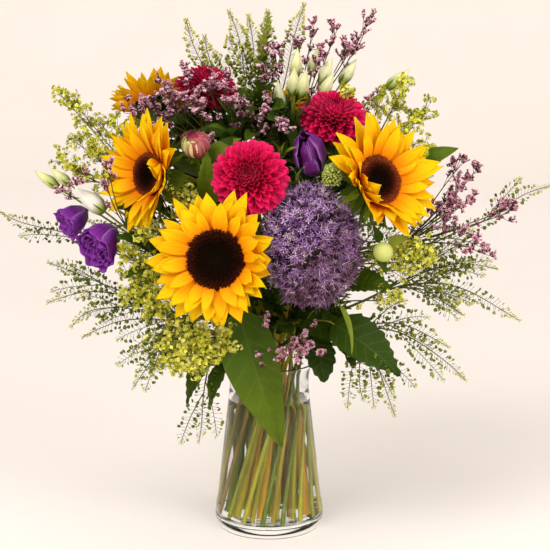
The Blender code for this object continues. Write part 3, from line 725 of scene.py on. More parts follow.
def green_looks():
    """Leaves and stems."""
    blade_skin = Look("leaf_blade", 0.55, Specular_IOR_Level=0.12)
    # the side veins slant forward from the rib, each where a sawtooth is near its middle
    along = blade_skin.math("MULTIPLY", blade_skin.tone(0), 7.5)
    sawtooth = blade_skin.math("FRACT", blade_skin.math("MULTIPLY_ADD", blade_skin.tone(1), -1.15, along))
    off_middle = blade_skin.math("ABSOLUTE", blade_skin.math("SUBTRACT", sawtooth, 0.5))
    vein = blade_skin.math("LESS_THAN", off_middle, 0.045)
    veins = blade_skin.math("MAXIMUM", vein, blade_skin.math("LESS_THAN", blade_skin.tone(1), 0.045))
    # its near-black low end is taken by foliage deep in the bunch as painted shade
    base = blade_skin.ramp(
        blade_skin.tone(2), (0.0, (0.014, 0.034, 0.002)), (0.45, (0.050, 0.095, 0.004)),
        (0.72, (0.13, 0.19, 0.008)), (1.0, (0.38, 0.42, 0.06)),
    )
    base = blade_skin.brightness(base, blade_skin.noise(55), 0.60, 1.12)
    blade_skin.colour(blade_skin.tint(base, veins, 0.10, (0.22, 0.30, 0.06)))
    blade_skin.bump(blade_skin.math("SUBTRACT", blade_skin.noise(150), veins), 0.0007, 0.45)
    blade_skin.thin(0.20)

    stem_skin = Look("stem_skin", 0.60, Specular_IOR_Level=0.2)
    base = stem_skin.ramp(
        stem_skin.tone(2), (0.0, (0.060, 0.095, 0.006)), (0.35, (0.17, 0.21, 0.010)),
        (0.55, (0.30, 0.30, 0.014)), (0.75, (0.46, 0.34, 0.016)), (0.90, (0.27, 0.145, 0.016)),
        (1.0, (0.66, 0.32, 0.008)),
    )
    base = stem_skin.tint(base, stem_skin.noise(120, 4, (1, 1, 0.15)), 0.45, (0.16, 0.14, 0.03))
    stem_skin.colour(stem_skin.brightness(base, stem_skin.noise(240, 4, (1, 1, 0.12)), 0.75, 1.2))
    stem_skin.bump(stem_skin.noise(500, 4, (1, 1, 0.10)), 0.0005, 0.5)
    return {"leaf": blade_skin, "stem": stem_skin}


def clear_look(name, ior, tint):
    """Glass or water that lets the light of lamps through."""
    look = Look(
        name, 0.0, Transmission_Weight=1.0, IOR=ior, Specular_IOR_Level=0.3,
        Specular_Tint=(0.25, 0.25, 0.25, 1)
    )
    base = look.ramp(look.noise(9), (0.0, tint), (1.0, (1.0, 1.0, 1.0)))
    look.colour(look.brightness(base, look.noise(4), 0.985, 1.0))
    look.bump(look.noise(28, 2), 0.0006, 0.18)
    path = look.node("LightPath")
    through = look.node("BsdfTransparent")
    through.inputs[0].default_value = (0.96, 0.975, 0.965, 1)
    both = look.node("MixShader")
    look.feed(both.inputs[0], path.outputs["Is Shadow Ray"])
    look.feed(both.inputs[1], look.shader.outputs[0])
    look.feed(both.inputs[2], through.outputs[0])
    look.feed(look.out.inputs[0], both.outputs[0])
    return look


LOOKS = {key: look.material for key, look in {
    **petal_looks(),
    **small_looks(),
    **green_looks(),
    "glass": clear_look("clear_glass", 1.47, (0.955, 0.985, 0.965)),
    "water": clear_look("still_water", 1.333, (0.97, 0.985, 0.965)),
}.items()}


# ---- small shapes that are stamped many times ----
def star_shape(points, reach, width, rise, base, throat=None):
    """A floret along +Z: a narrow throat (its length and radius), if any, under a star of pointed lobes."""
    verts, faces, tones = [], [], []
    if throat:
        length, radius = throat
        for k in range(3):
            a = 2 * math.pi * k / 3
            verts += [(0.5 * radius * math.cos(a), 0.5 * radius * math.sin(a), -length),
                      (radius * math.cos(a), radius * math.sin(a), 0)]
            tones += [(0.30, 0, 0), (0.55, 0, 0)]
        for k in range(3):
            a, b = 2 * k, 2 * ((k + 1) % 3)
            faces += [(a, b, b + 1), (a, b + 1, a + 1)]
    for k in range(points):
        a = 2 * math.pi * k / points
        i = len(verts)
        d = vec(math.cos(a), math.sin(a), 0)
        e = vec(-math.sin(a), math.cos(a), 0)
        for place, tone in (
            (d * base - e * 0.3 * width, 0.5), (d * base + e * 0.3 * width, 0.5),
            (d * 0.6 * reach + e * width * 0.5 + vec(0, 0, rise * 0.5), 0.75),
            (d * reach + vec(0, 0, rise), 1.0),
            (d * 0.6 * reach - e * width * 0.5 + vec(0, 0, rise * 0.5), 0.75),
        ):
            verts.append(tuple(place))
            tones.append((tone, 0, 0))
        faces += [(i, i + 1, i + 2), (i, i + 2, i + 4), (i + 4, i + 2, i + 3)]
    return np.array(verts, float), np.array(faces), np.array(tones, float)


def pod_shape():
    """A flat round pod with a notch at its tip, its stalk end at the origin, along +Z; about 1 across."""
    sides = 10
    rim = []
    for k in range(sides):
        a = 2 * math.pi * k / sides
        r = 0.35 if k == 0 else 0.5
        rim.append((r * math.sin(a), 0, 0.5 + r * math.cos(a)))
    verts = [(0, 0.10, 0.5), (0, -0.10, 0.5)] + rim
    faces = []
    for k in range(sides):
        a, b = 2 + k, 2 + (k + 1) % sides
        faces += [(0, a, b), (1, b, a)]
    tones = [(0.0, 0, 0)] * 2 + [(0.12, 0, 0)] * sides
    return np.array(verts, float), np.array(faces), np.array(tones, float)


def cone_shape(sides, radius, height):
    """A blunt little peg along +Z, which narrows to a point over its last fifth."""
    verts = [(radius * math.cos(2 * math.pi * k / sides), radius * math.sin(2 * math.pi * k / sides), 0)
             for k in range(sides)]
    verts += [(0.75 * x, 0.75 * y, 0.8 * height) for x, y, _ in verts] + [(0, 0, height)]
    faces = []
    for k in range(sides):
        j = (k + 1) % sides
        faces += [(k, j, sides + j), (k, sides + j, sides + k), (sides + k, sides + j, 2 * sides)]
    # lower third tone at the foot and higher at the tip: on a seed disc, painted shade between the pegs and
    # painted light on their tips
    tones = [(0, 0, -0.15)] * sides + [(0, 0, 0.1)] * sides + [(0, 0, 0.25)]
    return np.array(verts, float), np.array(faces), np.array(tones, float)


# ---- sunflowers ----
RAY_OUTLINE = ([0, 0.10, 0.30, 0.50, 0.68, 0.82, 0.92, 1.0], [0.50, 0.74, 0.97, 1.0, 0.82, 0.50, 0.22, 0.02])
BRACT_OUTLINE = ([0, 0.25, 0.6, 0.85, 1.0], [0.8, 1.0, 0.55, 0.2, 0.02])
# rings of ray petals: how many, by how much of a step they are turned, how much further they cup, their share
# of the full length, and their height
RAY_RINGS = ((23, 0.0, 0.04, 1.04, 0.0005), (20, 0.5, 0.20, 0.95, 0.0020), (14, 0.25, 0.40, 0.74, 0.0036))
# rings of bracts: how many, by how much of a step they are turned, length, slope and how much they curl
BRACT_RINGS = ((16, 0.0, 0.030, -0.20, -0.1), (16, 0.5, 0.028, -0.50, 0.3), (12, 0.2, 0.022, -0.95, 0.5))
# where a sunflower's petals curl in over its disc, and how far (radians)
FOLDED = {"left": (math.radians(-12), 0.40), "right": (math.radians(216), 0.60),
          "front": (math.radians(-8), 0.30)}
# how brown, not near black, a disc is
DISC_GLOW = {"front": 0.06, "left": 0.40, "right": 0.48, "top": 0.2, "back": 0.2}
DISC_FLORETS = 620
DISC_ANTHERS = 420
RAY_WIDTH = 0.0180
RAY_ROOT = 0.86    # where rays spring from, as a share of the disc's radius


def ray_petals(rng, name, centre, turned, outer, disc, lift):
    rays = Cloud()
    for count, offset, extra, share, height in RAY_RINGS:
        for i in range(count):
            azimuth = 2 * math.pi * (i + offset) / count + rng.normal(0, 0.075)
            length = (outer - RAY_ROOT * disc) * share * rng.uniform(0.86, 1.13)
            if name == "front":
                length *= 1 + 0.11 * max(0.0, -math.cos(azimuth))
            width = RAY_WIDTH * share**0.5 * rng.uniform(0.78, 1.14) * outer / 0.066
            up = lift + extra + rng.normal(0, 0.08)
            bend = up - rng.uniform(0.15, 0.65)
            if name in FOLDED:
                way, curl = FOLDED[name]
                near = max(0.0, math.cos(azimuth - way) - 0.35)
                up += curl * near
                bend += (curl + rng.uniform(0.2, 1.4)) * near
                length *= 1 - 0.30 * near
            length = length / max(0.75, math.cos(0.5 * (up + bend))) * 0.985
            grid, tones = blade(
                length, width, RAY_OUTLINE, 13, 9, (up, bend),
                cup=rng.uniform(0.10, 0.45), cup_out=rng.uniform(0.05, 0.7), ridge=0.00030,
                sway=rng.normal(0, 0.0022), ruffle=0.0012, rand=abs(rng.normal(0, 0.35)),
                phase=rng.uniform(0, 6),
            )
            grid = grid @ turn(0, rng.normal(0, 0.17)).T + vec(RAY_ROOT * disc, 0, height)
            rays.sheet(around(grid, azimuth, turned, centre), tones)
    return rays


def seed_head(rng, centre, turned, disc, glow):
    """The disc: florets in a spiral over a low dome, with a ring of loose anthers round its edge."""
    seeds = Cloud()
    dome = [(0, 0.0035), (0.30 * disc, 0.0045), (0.62 * disc, 0.0070), (0.90 * disc, 0.0055),
            (1.0 * disc, 0.0010), (0.8 * disc, -0.0010), (0, -0.0012)]
    lathe(seeds, smooth_profile(dome, 4), 40, (0.1, 0, 0.3), 0, turned, centre)

    n = DISC_FLORETS
    i = np.arange(n)
    radius = disc * 0.985 * np.sqrt((i + 0.5) / n)
    azimuth = i * GOLDEN
    share = radius / disc
    height = np.interp(share, [0, 0.3, 0.62, 0.9, 1.0], [0.0036, 0.0046, 0.0071, 0.0056, 0.0030])
    lean = np.interp(share, [0, 0.45, 0.62, 1.0], [0.0, -0.35, 0.15, 0.75])
    outward = np.column_stack([np.cos(azimuth), np.sin(azimuth), np.zeros(n)])
    places = outward * radius[:, None] + height[:, None] * vec(0, 0, 1)
    axes = unit(outward * lean[:, None] + vec(0, 0, 1) + rng.normal(0, 0.10, (n, 3)))
    grow = np.interp(share, [0, 0.35, 0.55, 0.75, 1.0], [0.55, 0.75, 1.0, 1.35, 1.3])
    grow = grow * rng.uniform(0.85, 1.15, n)
    tones = tone_rows(np.maximum(share * (0.80 + glow), 1.1 * glow * (1 - share)), rng.uniform(0.1, 0.6, n))
    stamp(seeds, cone_shape(5, 0.00105, 0.0030), places @ turned.T + centre, axes @ turned.T, grow, tones,
          rng.uniform(0, 6, n))

    m = DISC_ANTHERS
    azimuth = rng.uniform(0, 2 * np.pi, m)
    radius = disc * rng.uniform(0.66, 1.0, m)
    height = np.interp(radius / disc, [0.6, 1], [0.0072, 0.0040])
    outward = np.column_stack([np.cos(azimuth), np.sin(azimuth), np.zeros(m)])
    base = outward * radius[:, None] + height[:, None] * vec(0, 0, 1)
    way = unit(outward * rng.uniform(0.1, 1.6, (m, 1)) + vec(0, 0, 1) + rng.normal(0, 0.3, (m, 3)))
    tip = base + way * rng.uniform(0.0030, 0.0058, (m, 1))
    sticks(seeds, base @ turned.T + centre, tip @ turned.T + centre, 0.00048,
           tone_rows(rng.uniform(0.62, 0.86, m) + 0.5 * glow, rng.uniform(0.2, 1.0, m)))
    return seeds


def sunflower_stalk(rng, name, centre, facing, disc, lift):
    """Stem, receptacle, bracts and leaves."""
    key = f"sunflower_{name}"
    axis = unit(facing)
    turned = facing_frame(axis)
    stem = Cloud()
    back = centre - axis * 0.026
    path = stem_path(key, back, facing)
    tube(stem, path, stem_girth(path, SUNFLOWER_STEM), (0, 0, stem_tone(rng)), 14, ribs=0.03)
    wide, long = (0.72, 0.6) if name == "top" else (0.98, 1.0)
    calyx = [(0, -0.002), (SUNFLOWER_STEM * 0.98, 0.0), (0.0072, 0.010), (0.68 * wide * disc, 0.017),
             (wide * disc, 0.0250), (0.6 * wide * disc, 0.0262), (0, 0.0262)]
    lathe(stem, smooth_profile(calyx, 4), 28, (0.3, 0.4, 0.35), 1, turned, back)
    for count, offset, length, slope, curl in BRACT_RINGS:
        for i in range(count):
            azimuth = 2 * math.pi * (i + offset) / count + rng.normal(0, 0.08)
            up = slope + rng.normal(0, 0.12) + 0.5 * lift
            grid, tones = blade(length * rng.uniform(0.85, 1.15) * long, 0.010, BRACT_OUTLINE, 8, 5,
                                (up, up + curl),
                                cup=0.5, rand=rng.uniform(0.35, 0.75))
            stem.sheet(around(grid + vec(0.88 * wide * disc, 0, -0.0055), azimuth, turned, centre), tones, 1)
    grow_leaves(stem, key, path, rng)
    return stem


def sunflower(name, centre, facing, outer, disc, cup, seed):
    rng = np.random.default_rng(seed)
    key = f"sunflower_{name}"
    turned = facing_frame(unit(facing))
    centre = np.asarray(centre, float)
    lift = math.radians(cup)
    rays = ray_petals(rng, name, centre, turned, outer, disc, lift)
    made = show(rays, f"{key}_rays", "sunflower_petal", ["ray"], f"{key}_petals")
    thicken(made, 0.0003)
    seeds = seed_head(rng, centre, turned, disc, DISC_GLOW[name])
    show(seeds, f"{key}_florets", "sunflower_disc", ["disc"], f"{key}_disc")
    stem = sunflower_stalk(rng, name, centre, facing, disc, lift)
    show(stem, f"{key}_stalk", "stem", ["stem", "leaf"], f"{key}_stem")


def stem_girth(path, radius, end=1.0):
    """Radius along a stem: stouter below the tie, with faint nodes, and end times as thick at its top."""
    height = path[:, 2]
    below = np.interp(height, [FOOT_HEIGHT, TIE_HEIGHT - 0.03], [1.38 if radius < 0.004 else 1.18, 1.0])
    above = np.linspace(1.0, end, len(path))
    return radius * below * above * (1 + 0.03 * np.sin(1.7 * np.arange(len(path))))


def stem_tone(rng):
    """One of the greens, ochres and browns of the stems, see the look of their skin."""
    return float(rng.choice([0.12, 0.30, 0.45, 0.55, 0.62, 0.72, 0.80, 0.90, 1.0]))


def thicken(made, thickness):
    """Gives a sheet its small real thickness."""
    modifier = made.modifiers.new("thickness", "SOLIDIFY")
    modifier.thickness = thickness
    modifier.offset = 0
    modifier.use_rim = True


# ---- leaves ----
LEAF_OUTLINE = ([0, 0.03, 0.10, 0.22, 0.36, 0.52, 0.70, 0.86, 0.95, 1.0],
                [0.05, 0.34, 0.76, 0.98, 1.0, 0.86, 0.58, 0.28, 0.12, 0.01])
NARROW_OUTLINE = ([0, 0.06, 0.20, 0.40, 0.60, 0.80, 0.93, 1.0],
                  [0.10, 0.45, 0.85, 1.0, 0.88, 0.52, 0.22, 0.01])


LEAF_ARCH = 0.34
LEAF_FOLD = 0.20


def leaf(cloud, base, tip, upper_side, width, rng, rand, outline=LEAF_OUTLINE, teeth=0, slot=1, rows=30,
         cols=11,
         shade_at_base=0.0):
    """A leaf from base to tip, arched, folded a little along its rib, with teeth along its edge if any."""
    base, tip = np.asarray(base, float), np.asarray(tip, float)
    length = np.linalg.norm(tip - base)
    along = unit(tip - base)
    across = unit(np.cross(upper_side, along))
    normal = np.cross(along, across)
    grid, tones = blade(length * (1 + 0.18 * LEAF_ARCH), width, outline, rows, cols, (LEAF_ARCH, -LEAF_ARCH),
                        cup=0.15, fold=LEAF_FOLD, ruffle=0.05 * width, rand=rand, phase=rng.uniform(0, 6))
    t = np.linspace(0, 1, rows)
    if teeth:
        bite = 0.09 * width * ((t * teeth) % 1.0) * (t > 0.12) * (t < 0.97)
        grid[:, 0, 1] -= bite
        grid[:, -1, 1] += bite
    side = np.abs(np.linspace(-1, 1, cols))[None]
    t = t[:, None]
    quilt = 0.022 * width * np.sin(2 * math.pi * (t * 7.5 - 1.15 * side)) * np.sin(np.pi * side)
    grid[..., 2] += quilt * np.sin(np.pi * t)
    # darker towards the base and paler towards the tip: painted shade
    tones[..., 2] += shade_at_base * (t - 0.45)
    cloud.sheet(grid @ np.column_stack([along, across, normal]).T + base, tones, slot)


# for each row of LEAVES: how pale it is, and how many teeth it has
LEAF_TONES = (0.52, 0.40, 0.20, 0.50, 0.62, 0.14, 0.70, 0.45, 0.40)
LEAF_TEETH = (0, 9, 9, 9, 0, 6, 9, 9, 9)
NARROW_LEAVES = (4, 5)


def grow_leaves(cloud, key, path, rng, slot=1):
    """The leaves of one stem, each on its stalk."""
    for number, (stem, height, base, tip, upper_side, width) in enumerate(LEAVES):
        if stem != key:
            continue
        base, tip = np.asarray(base, float), np.asarray(tip, float)
        along = unit(tip - base)
        root = point_at_height(path, height)
        stalk = np.vstack([bezier(root, root + (base - root) * 0.5, base - along * 0.012, base, 8),
                           base + along * 0.10 * np.linalg.norm(tip - base)])
        tube(cloud, stalk, np.linspace(LEAF_STALK, 0.0008, len(stalk)), (0, 0, 0.45), 8)
        # the first leaf hangs under the front sunflower and gets painted shade at its base
        leaf(cloud, base, tip, upper_side, width, rng, LEAF_TONES[number], teeth=LEAF_TEETH[number],
             slot=slot,
             outline=NARROW_OUTLINE if number in NARROW_LEAVES else LEAF_OUTLINE,
             shade_at_base=0.30 if number == 0 else 0.0)


# ---- dahlias ----
DAHLIA_PETALS = 250
DAHLIA_FLATNESS = 0.86    # how tall a bloom is for its width
DAHLIA_OUTLINE = ([0, 0.3, 0.75, 0.93, 1.0], [0.5, 0.8, 1.0, 0.78, 0.30])


def dahlia_bloom(rng, centre, axis, turned, radius, dark):
    """Cupped petals in a spiral from the middle of the face round to the back."""
    bloom = Cloud()
    for i in range(DAHLIA_PETALS):
        share = (i + 0.5) / DAHLIA_PETALS
        tilt = 2.15 * share**0.62
        azimuth = i * GOLDEN + rng.normal(0, 0.06)
        reach = np.interp(share, [0, 0.06, 0.3, 0.7, 1.0], [0.56, 0.66, 0.86, 1.0, 0.94])
        reach = radius * reach * rng.uniform(0.96, 1.04)
        width = radius * np.interp(share, [0, 0.1, 0.4, 1.0], [0.11, 0.17, 0.255, 0.30])
        cup = np.interp(share, [0, 0.15, 0.5, 1.0], [2.1, 1.8, 1.5, 1.15])
        slope = (0.15, 0.15 + np.interp(share, [0, 1], [0.55, -0.15]))
        # the innermost petals get much more dark maroon: painted shade in the heart of the bloom
        shade = min(1.0, dark + abs(rng.normal(0, 0.10)) + 0.45 * (share < 0.08))
        grid, tones = blade(reach * 0.62, width, DAHLIA_OUTLINE, 8, 7, slope, cup=cup, cup_out=cup * 0.8,
                            rand=shade)
        # the innermost petals darker still: painted shade in the heart of the bloom
        tones[..., 0] *= np.interp(share, [0, 0.12, 0.3], [0.55, 0.75, 1.0])
        grid = grid @ turn(0, rng.normal(0, 0.12)).T + vec(reach * 0.40, 0, 0)
        grid = grid @ turn(1, tilt - math.pi / 2).T @ turn(2, azimuth).T
        grid[..., 2] *= DAHLIA_FLATNESS
        bloom.sheet(grid @ turned.T + centre - axis * 0.10 * radius, tones)
    # a dark core filling the heart of the bloom: painted shade
    core = smooth_profile([(0, -0.50 * radius), (0.42 * radius, -0.40 * radius), (0.52 * radius, 0.0),
                           (0.30 * radius, 0.36 * radius), (0, 0.42 * radius)], 4)
    lathe(bloom, core, 20, (0.0, 0, 0.6), 0, turned, centre - axis * 0.05 * radius)
    return bloom


def dahlia(name, centre, facing, radius, seed, dark=0.0):
    rng = np.random.default_rng(seed)
    key = f"dahlia_{name}"
    axis = unit(facing)
    turned = facing_frame(axis)
    centre = np.asarray(centre, float)
    bloom = dahlia_bloom(rng, centre, axis, turned, radius, dark)
    show(bloom, f"{key}_petals", "dahlia_petal", ["dahlia"], f"{key}_bloom")

    stem = Cloud()
    back = centre - axis * (0.62 * radius + 0.0062)
    path = stem_path(key, back, facing)
    tube(stem, path, stem_girth(path, DAHLIA_STEM), (0, 0, stem_tone(rng)), 12)
    cup = [(0, -0.001), (DAHLIA_STEM, 0), (0.0070, 0.003), (0.010, 0.0075), (0.006, 0.0085), (0, 0.0085)]
    lathe(stem, smooth_profile(cup, 4), 20, (0.3, 0.4, 0.45), 1, turned, back)
    for i in range(8):
        grid, tones = blade(0.016, 0.008, BRACT_OUTLINE, 7, 5, (0.3, -0.9), cup=0.4, rand=0.6)
        stem.sheet(around(grid + vec(0.006, 0, 0.004), 2 * math.pi * i / 8, turned, back), tones, 1)
    grow_leaves(stem, key, path, rng)
    show(stem, f"{key}_stalk", "stem", ["stem", "leaf"], f"{key}_stem")


def incurved_petal(cloud, azimuth, gather, radius, centre, turned, rng, slot, rand):
    """A petal that rises round a ball and curls in; the more it gathers, the nearer its tip to the pole."""
    t = np.linspace(0, 1, 11)[:, None]
    s = np.linspace(-1, 1, 9)[None]
    polar = math.pi * (0.90 - (0.62 + 0.24 * gather) * t)
    width = 0.50 * np.interp(t, [0, 0.3, 0.75, 0.92, 1.0], [0.6, 1.0, 1.0, 0.75, 0.30])
    around = azimuth + s * width / np.maximum(np.sin(polar), 0.38)
    out = radius * (1 + 0.05 * s * t + 0.10 * np.abs(s) ** 3 * t - 0.05 * t**4 + rng.uniform(-0.02, 0.02))
    grid = np.stack([out * np.sin(polar) * np.cos(around), out * np.sin(polar) * np.sin(around),
                     out * np.cos(polar) * np.ones_like(s)], axis=-1)
    tones = np.stack([(0.35 + 0.55 * t) * np.ones_like(s), np.abs(s) * np.ones_like(t),
                      np.full(out.shape, rand)],
                     axis=-1)
    cloud.sheet(grid @ turned.T + centre, tones, slot)


BUD_PETALS = 38
BUD_CREAM = 3.9    # the side, in radians round the bud, on which its outer petals are cream


def dahlia_bud(name, centre, facing, radius, seed):
    rng = np.random.default_rng(seed)
    key = f"dahlia_bud_{name}"
    axis = unit(facing)
    turned = facing_frame(axis)
    centre = np.asarray(centre, float)
    base = centre - axis * radius
    bud = Cloud()
    path = stem_path(key, base - axis * 0.004, facing)
    path = np.vstack([path, base + axis * 0.10 * radius])
    tube(bud, path, DAHLIA_STEM * 0.8, (0, 0, 0.45), 12, 0)
    ball = smooth_profile([(0, -radius), (0.5 * radius, -0.86 * radius), (0.93 * radius, -0.30 * radius),
                           (0.96 * radius, 0.25 * radius), (0.62 * radius, 0.76 * radius),
                           (0, 0.94 * radius)], 6)
    tones = tone_rows(np.linspace(0.10, 0.46, len(ball)), 0.0)
    if name == "half_open":
        lathe(bud, 0.84 * ball, 24, tones, 2, turned, centre)
        for i in range(BUD_PETALS):
            share = (i + 0.5) / BUD_PETALS
            azimuth = i * GOLDEN
            off_cream = abs((azimuth - BUD_CREAM + math.pi) % (2 * math.pi) - math.pi)
            cream = share < 0.5 and off_cream < 0.85
            incurved_petal(bud, azimuth, 0.62 * share + 0.14, radius * (1.02 - 0.20 * share), centre,
                           turned, rng,
                           4 if cream else 2, 0.0 if cream else 0.30 + 0.45 * rng.random())
        sepal, own = blade(radius * 0.75, radius * 0.45, BRACT_OUTLINE, 8, 5, (-0.5, 0.9), cup=0.5, rand=0.72)
        sepal = sepal + vec(0.35 * radius, 0, -1.02 * radius)
    else:
        lathe(bud, ball, 24, tones, 1, turned, centre)
        sepal, own = blade(radius * 0.8, radius * 0.5, BRACT_OUTLINE, 7, 5, (-0.2, -0.9), cup=0.4, rand=0.6)
        sepal = sepal + vec(0.2 * radius, 0, -0.98 * radius)
    for i in range(10):
        bud.sheet(around(sepal, 2 * math.pi * i / 10, turned, centre), own, 3)
    grow_leaves(bud, key, path, rng, 3)
    show(bud, f"{key}_plant", "dahlia_bud",
         ["stem", "bud", "bud_petal", "leaf", "bud"], key)


# ---- throatwort ----
THROATWORT_FLORETS = 4200
THROATWORT_UMBELS = 215
THROATWORT_FORKS = 46
THROATWORT_SHAPE = (0.96, 1.14, 0.78)    # across, up and forward


def throatwort_head(rng, centre, turned, radius):
    """Florets in many small umbels over a dome, redder and browner low down and to its right, with painted
    light on its upper left and on umbels that stand out, and painted shade on florets set deep in the dome.
    """
    head = Cloud()
    n, umbels = THROATWORT_FLORETS, THROATWORT_UMBELS
    z = 1 - 1.50 * (np.arange(umbels) + 0.5) / umbels
    flat = np.sqrt(np.clip(1 - z * z, 0, 1))
    azimuth = np.arange(umbels) * GOLDEN
    middles = np.column_stack([flat * np.cos(azimuth), flat * np.sin(azimuth), z])
    middles = unit(middles + rng.normal(0, 0.07, (umbels, 3)))
    high = middles[:, 1] - 0.7 * middles[:, 0]
    rises = rng.uniform(-0.09, 0.06, umbels) + 0.02 * high
    # random tone for each umbel, and painted light on the upper left
    umbel_tone_and_light = rng.normal(0, 0.16, umbels) + 0.13 * high
    brown = 0.46 - 0.50 * high
    umbel = np.arange(n) % umbels
    direction = unit(middles[umbel] + rng.normal(0, 0.075, (n, 3)))
    depth = rng.uniform(0, 1, n) ** 1.7
    reach = radius * (0.90 + rises[umbel] - 0.20 * depth + 0.05 * rng.random(n))
    shape = np.array(THROATWORT_SHAPE)
    places = direction * reach[:, None] * shape
    axes = unit(direction / shape + rng.normal(0, 0.50, (n, 3)))
    sizes = rng.uniform(0.65, 1.25, n)
    # each floret's brightness: painted shade the deeper it sits, painted light on umbels that stand out and
    # on the upper left, and random tone
    bright = -0.06 - 0.45 * depth + 0.8 * rises[umbel] + umbel_tone_and_light[umbel] + rng.normal(0, 0.10, n)
    bright = np.clip(bright, -0.6, 0.20)
    own = np.clip(brown[umbel] + rng.normal(0, 0.36, n), 0, 1)
    world, normal = places @ turned.T + centre, axes @ turned.T
    floret = star_shape(4, 0.0032, 0.0010, 0.0014, 0.0003, (0.0055, 0.0005))
    stamp(head, floret, world, normal, sizes, tone_rows(bright, own), rng.uniform(0, 6, n))
    # styles that stand out of the florets, and the stalks under them, these near black: painted shade inside
    # the head
    tips = world + unit(normal + rng.normal(0, 0.42, (n, 3))) * rng.uniform(0.0035, 0.0100, (n, 1))
    pale = np.where(rng.random(n) < 0.34, 1.04, 0.74)
    sticks(head, world, tips, 0.00030, tone_rows(np.clip(pale + bright, 0, 1.0), 0.6 * own))
    roots = world - unit(normal + unit(world - centre)) * 0.014
    sticks(head, roots, world, 0.00030, (0.16, 0, 0.4))
    # a near-black dome inside the head: painted shade between the florets
    inner = [(0, -0.30 * radius), (0.55 * radius, -0.26 * radius), (0.66 * radius, -0.02 * radius),
             (0.60 * radius, 0.20 * radius), (0.35 * radius, 0.40 * radius), (0, 0.46 * radius)]
    lathe(head, smooth_profile(inner, 5), 36, (0.0, 0, 0.3), 0, turned, centre)
    return head


def throatwort():
    rng = np.random.default_rng(71)
    _, centre, facing, radius = THROATWORT
    centre = np.asarray(centre, float)
    axis = unit(facing)
    turned = facing_frame(axis)
    head = throatwort_head(rng, centre, turned, radius)
    show(head, "throatwort_florets", "throatwort", ["throatwort"], "throatwort_head")

    stem = Cloud()
    path = stem_path("throatwort", centre - axis * 0.55 * radius, facing)
    tube(stem, path, stem_girth(path, THROATWORT_STEM), (0, 0, 0.35), 12)
    for i in range(THROATWORT_FORKS):
        azimuth, share = i * GOLDEN, 0.35 + 0.65 * ((i + 0.5) / THROATWORT_FORKS) ** 0.5
        end = on_ring(0.86 * radius * share, azimuth, -0.10 * radius)
        start = vec(0, 0, -0.55 * radius - 0.012 * rng.random())
        curve = bezier(start, start + vec(0, 0, 0.010), end - vec(0, 0, 0.014), end, 6)
        tube(stem, curve @ turned.T + centre, 0.0008, (0, 0, 0.3), 5)
    grow_leaves(stem, "throatwort", path, rng)
    show(stem, "throatwort_stalk", "stem", ["stem", "leaf"], "throatwort_stem")


# ---- sprays ----
def start_spray(key, fork, seed):
    """A spray with its stem: the draws, the piece, the stem's path and the fork at its end."""
    rng = np.random.default_rng(seed)
    fork = np.asarray(fork, float)
    outward = unit(unit(vec(fork[0], fork[1], 0)) * 0.75 + vec(0, 0, 0.66))
    plant = Cloud()
    trunk = stem_path(key, fork, outward)
    tube(plant, trunk, stem_girth(trunk, SPRAY_STEM, 0.7), (0, 0, stem_tone(rng)), 9, slot=2)
    return rng, plant, trunk, fork


def spray_shoots(trunk, fork, tips):
    return [shoot_path(trunk, 0.88, tip, droop=0.6 if tip[2] < fork[2] + 0.02 else 0.0) for tip in tips]


def splay(cloud, starts, ways, count, spread, lengths, radius, rng, rise, tone):
    """Branchlets, count from each start, splayed round its way. Gives back their starts, ends and ways."""
    starts, ways = np.repeat(starts, count, axis=0), np.repeat(ways, count, axis=0)
    ways = unit(ways + rng.normal(0, spread, ways.shape) + vec(0, 0, rise))
    ends = starts + ways * rng.uniform(*lengths, (len(starts), 1))
    sticks(cloud, starts, ends, radius, (0.3, 0, tone))
    return starts, ends, ways


def raceme(cloud, path, rng, begin, pitch, ripe, stalk=0.0066, size=0.0046):
    """Flat pods on hair-thin stalks either side of a slender one, crowded, small and pale towards its tip."""
    way = along_path(path)
    n = max(6, int((1 - begin) * way[-1] / pitch))
    u = (np.arange(n) + rng.uniform(0.2, 0.8, n)) / n
    share = 1 - (1 - u) ** 1.25
    at = way[-1] * (begin + (1 - begin) * share)
    root = np.column_stack([np.interp(at, way, path[:, i]) for i in range(3)])
    tangent = unit(np.column_stack([np.interp(at, way, np.gradient(path[:, i], way)) for i in range(3)]))
    side = unit(np.cross(tangent, (0.05, 1.0, 0.1)))
    angle = np.arange(n) * math.pi + rng.normal(0, 0.60, n)
    out = side * np.cos(angle)[:, None] + np.cross(tangent, side) * np.sin(angle)[:, None]
    forward = (0.45 + 1.3 * ease(0.72, 1.0, share))[:, None]
    aim = unit(out + tangent * forward + rng.normal(0, 0.10, (n, 3)) + vec(0, 0, 0.12))
    reach = stalk * (1 - 0.66 * ease(0.70, 1.0, share)) * rng.uniform(0.8, 1.15, n)
    reach = reach * (0.72 + 0.28 * ease(0, 0.12, share))
    end = root + aim * reach[:, None]
    sticks(cloud, root, end, 0.00024, (0.55, 0, 0.45))
    pale = ripe + 0.20 * rng.random(n) + 0.55 * ease(0.60, 1.0, share)
    grow = size * (1 - 0.50 * ease(0.68, 1.0, share)) * rng.uniform(0.80, 1.12, n)
    stamp(cloud, POD, end, unit(aim + vec(0, 0, 0.25)), grow, tone_rows(pale, rng.random(n)),
          rng.uniform(0, 6, n), 1)


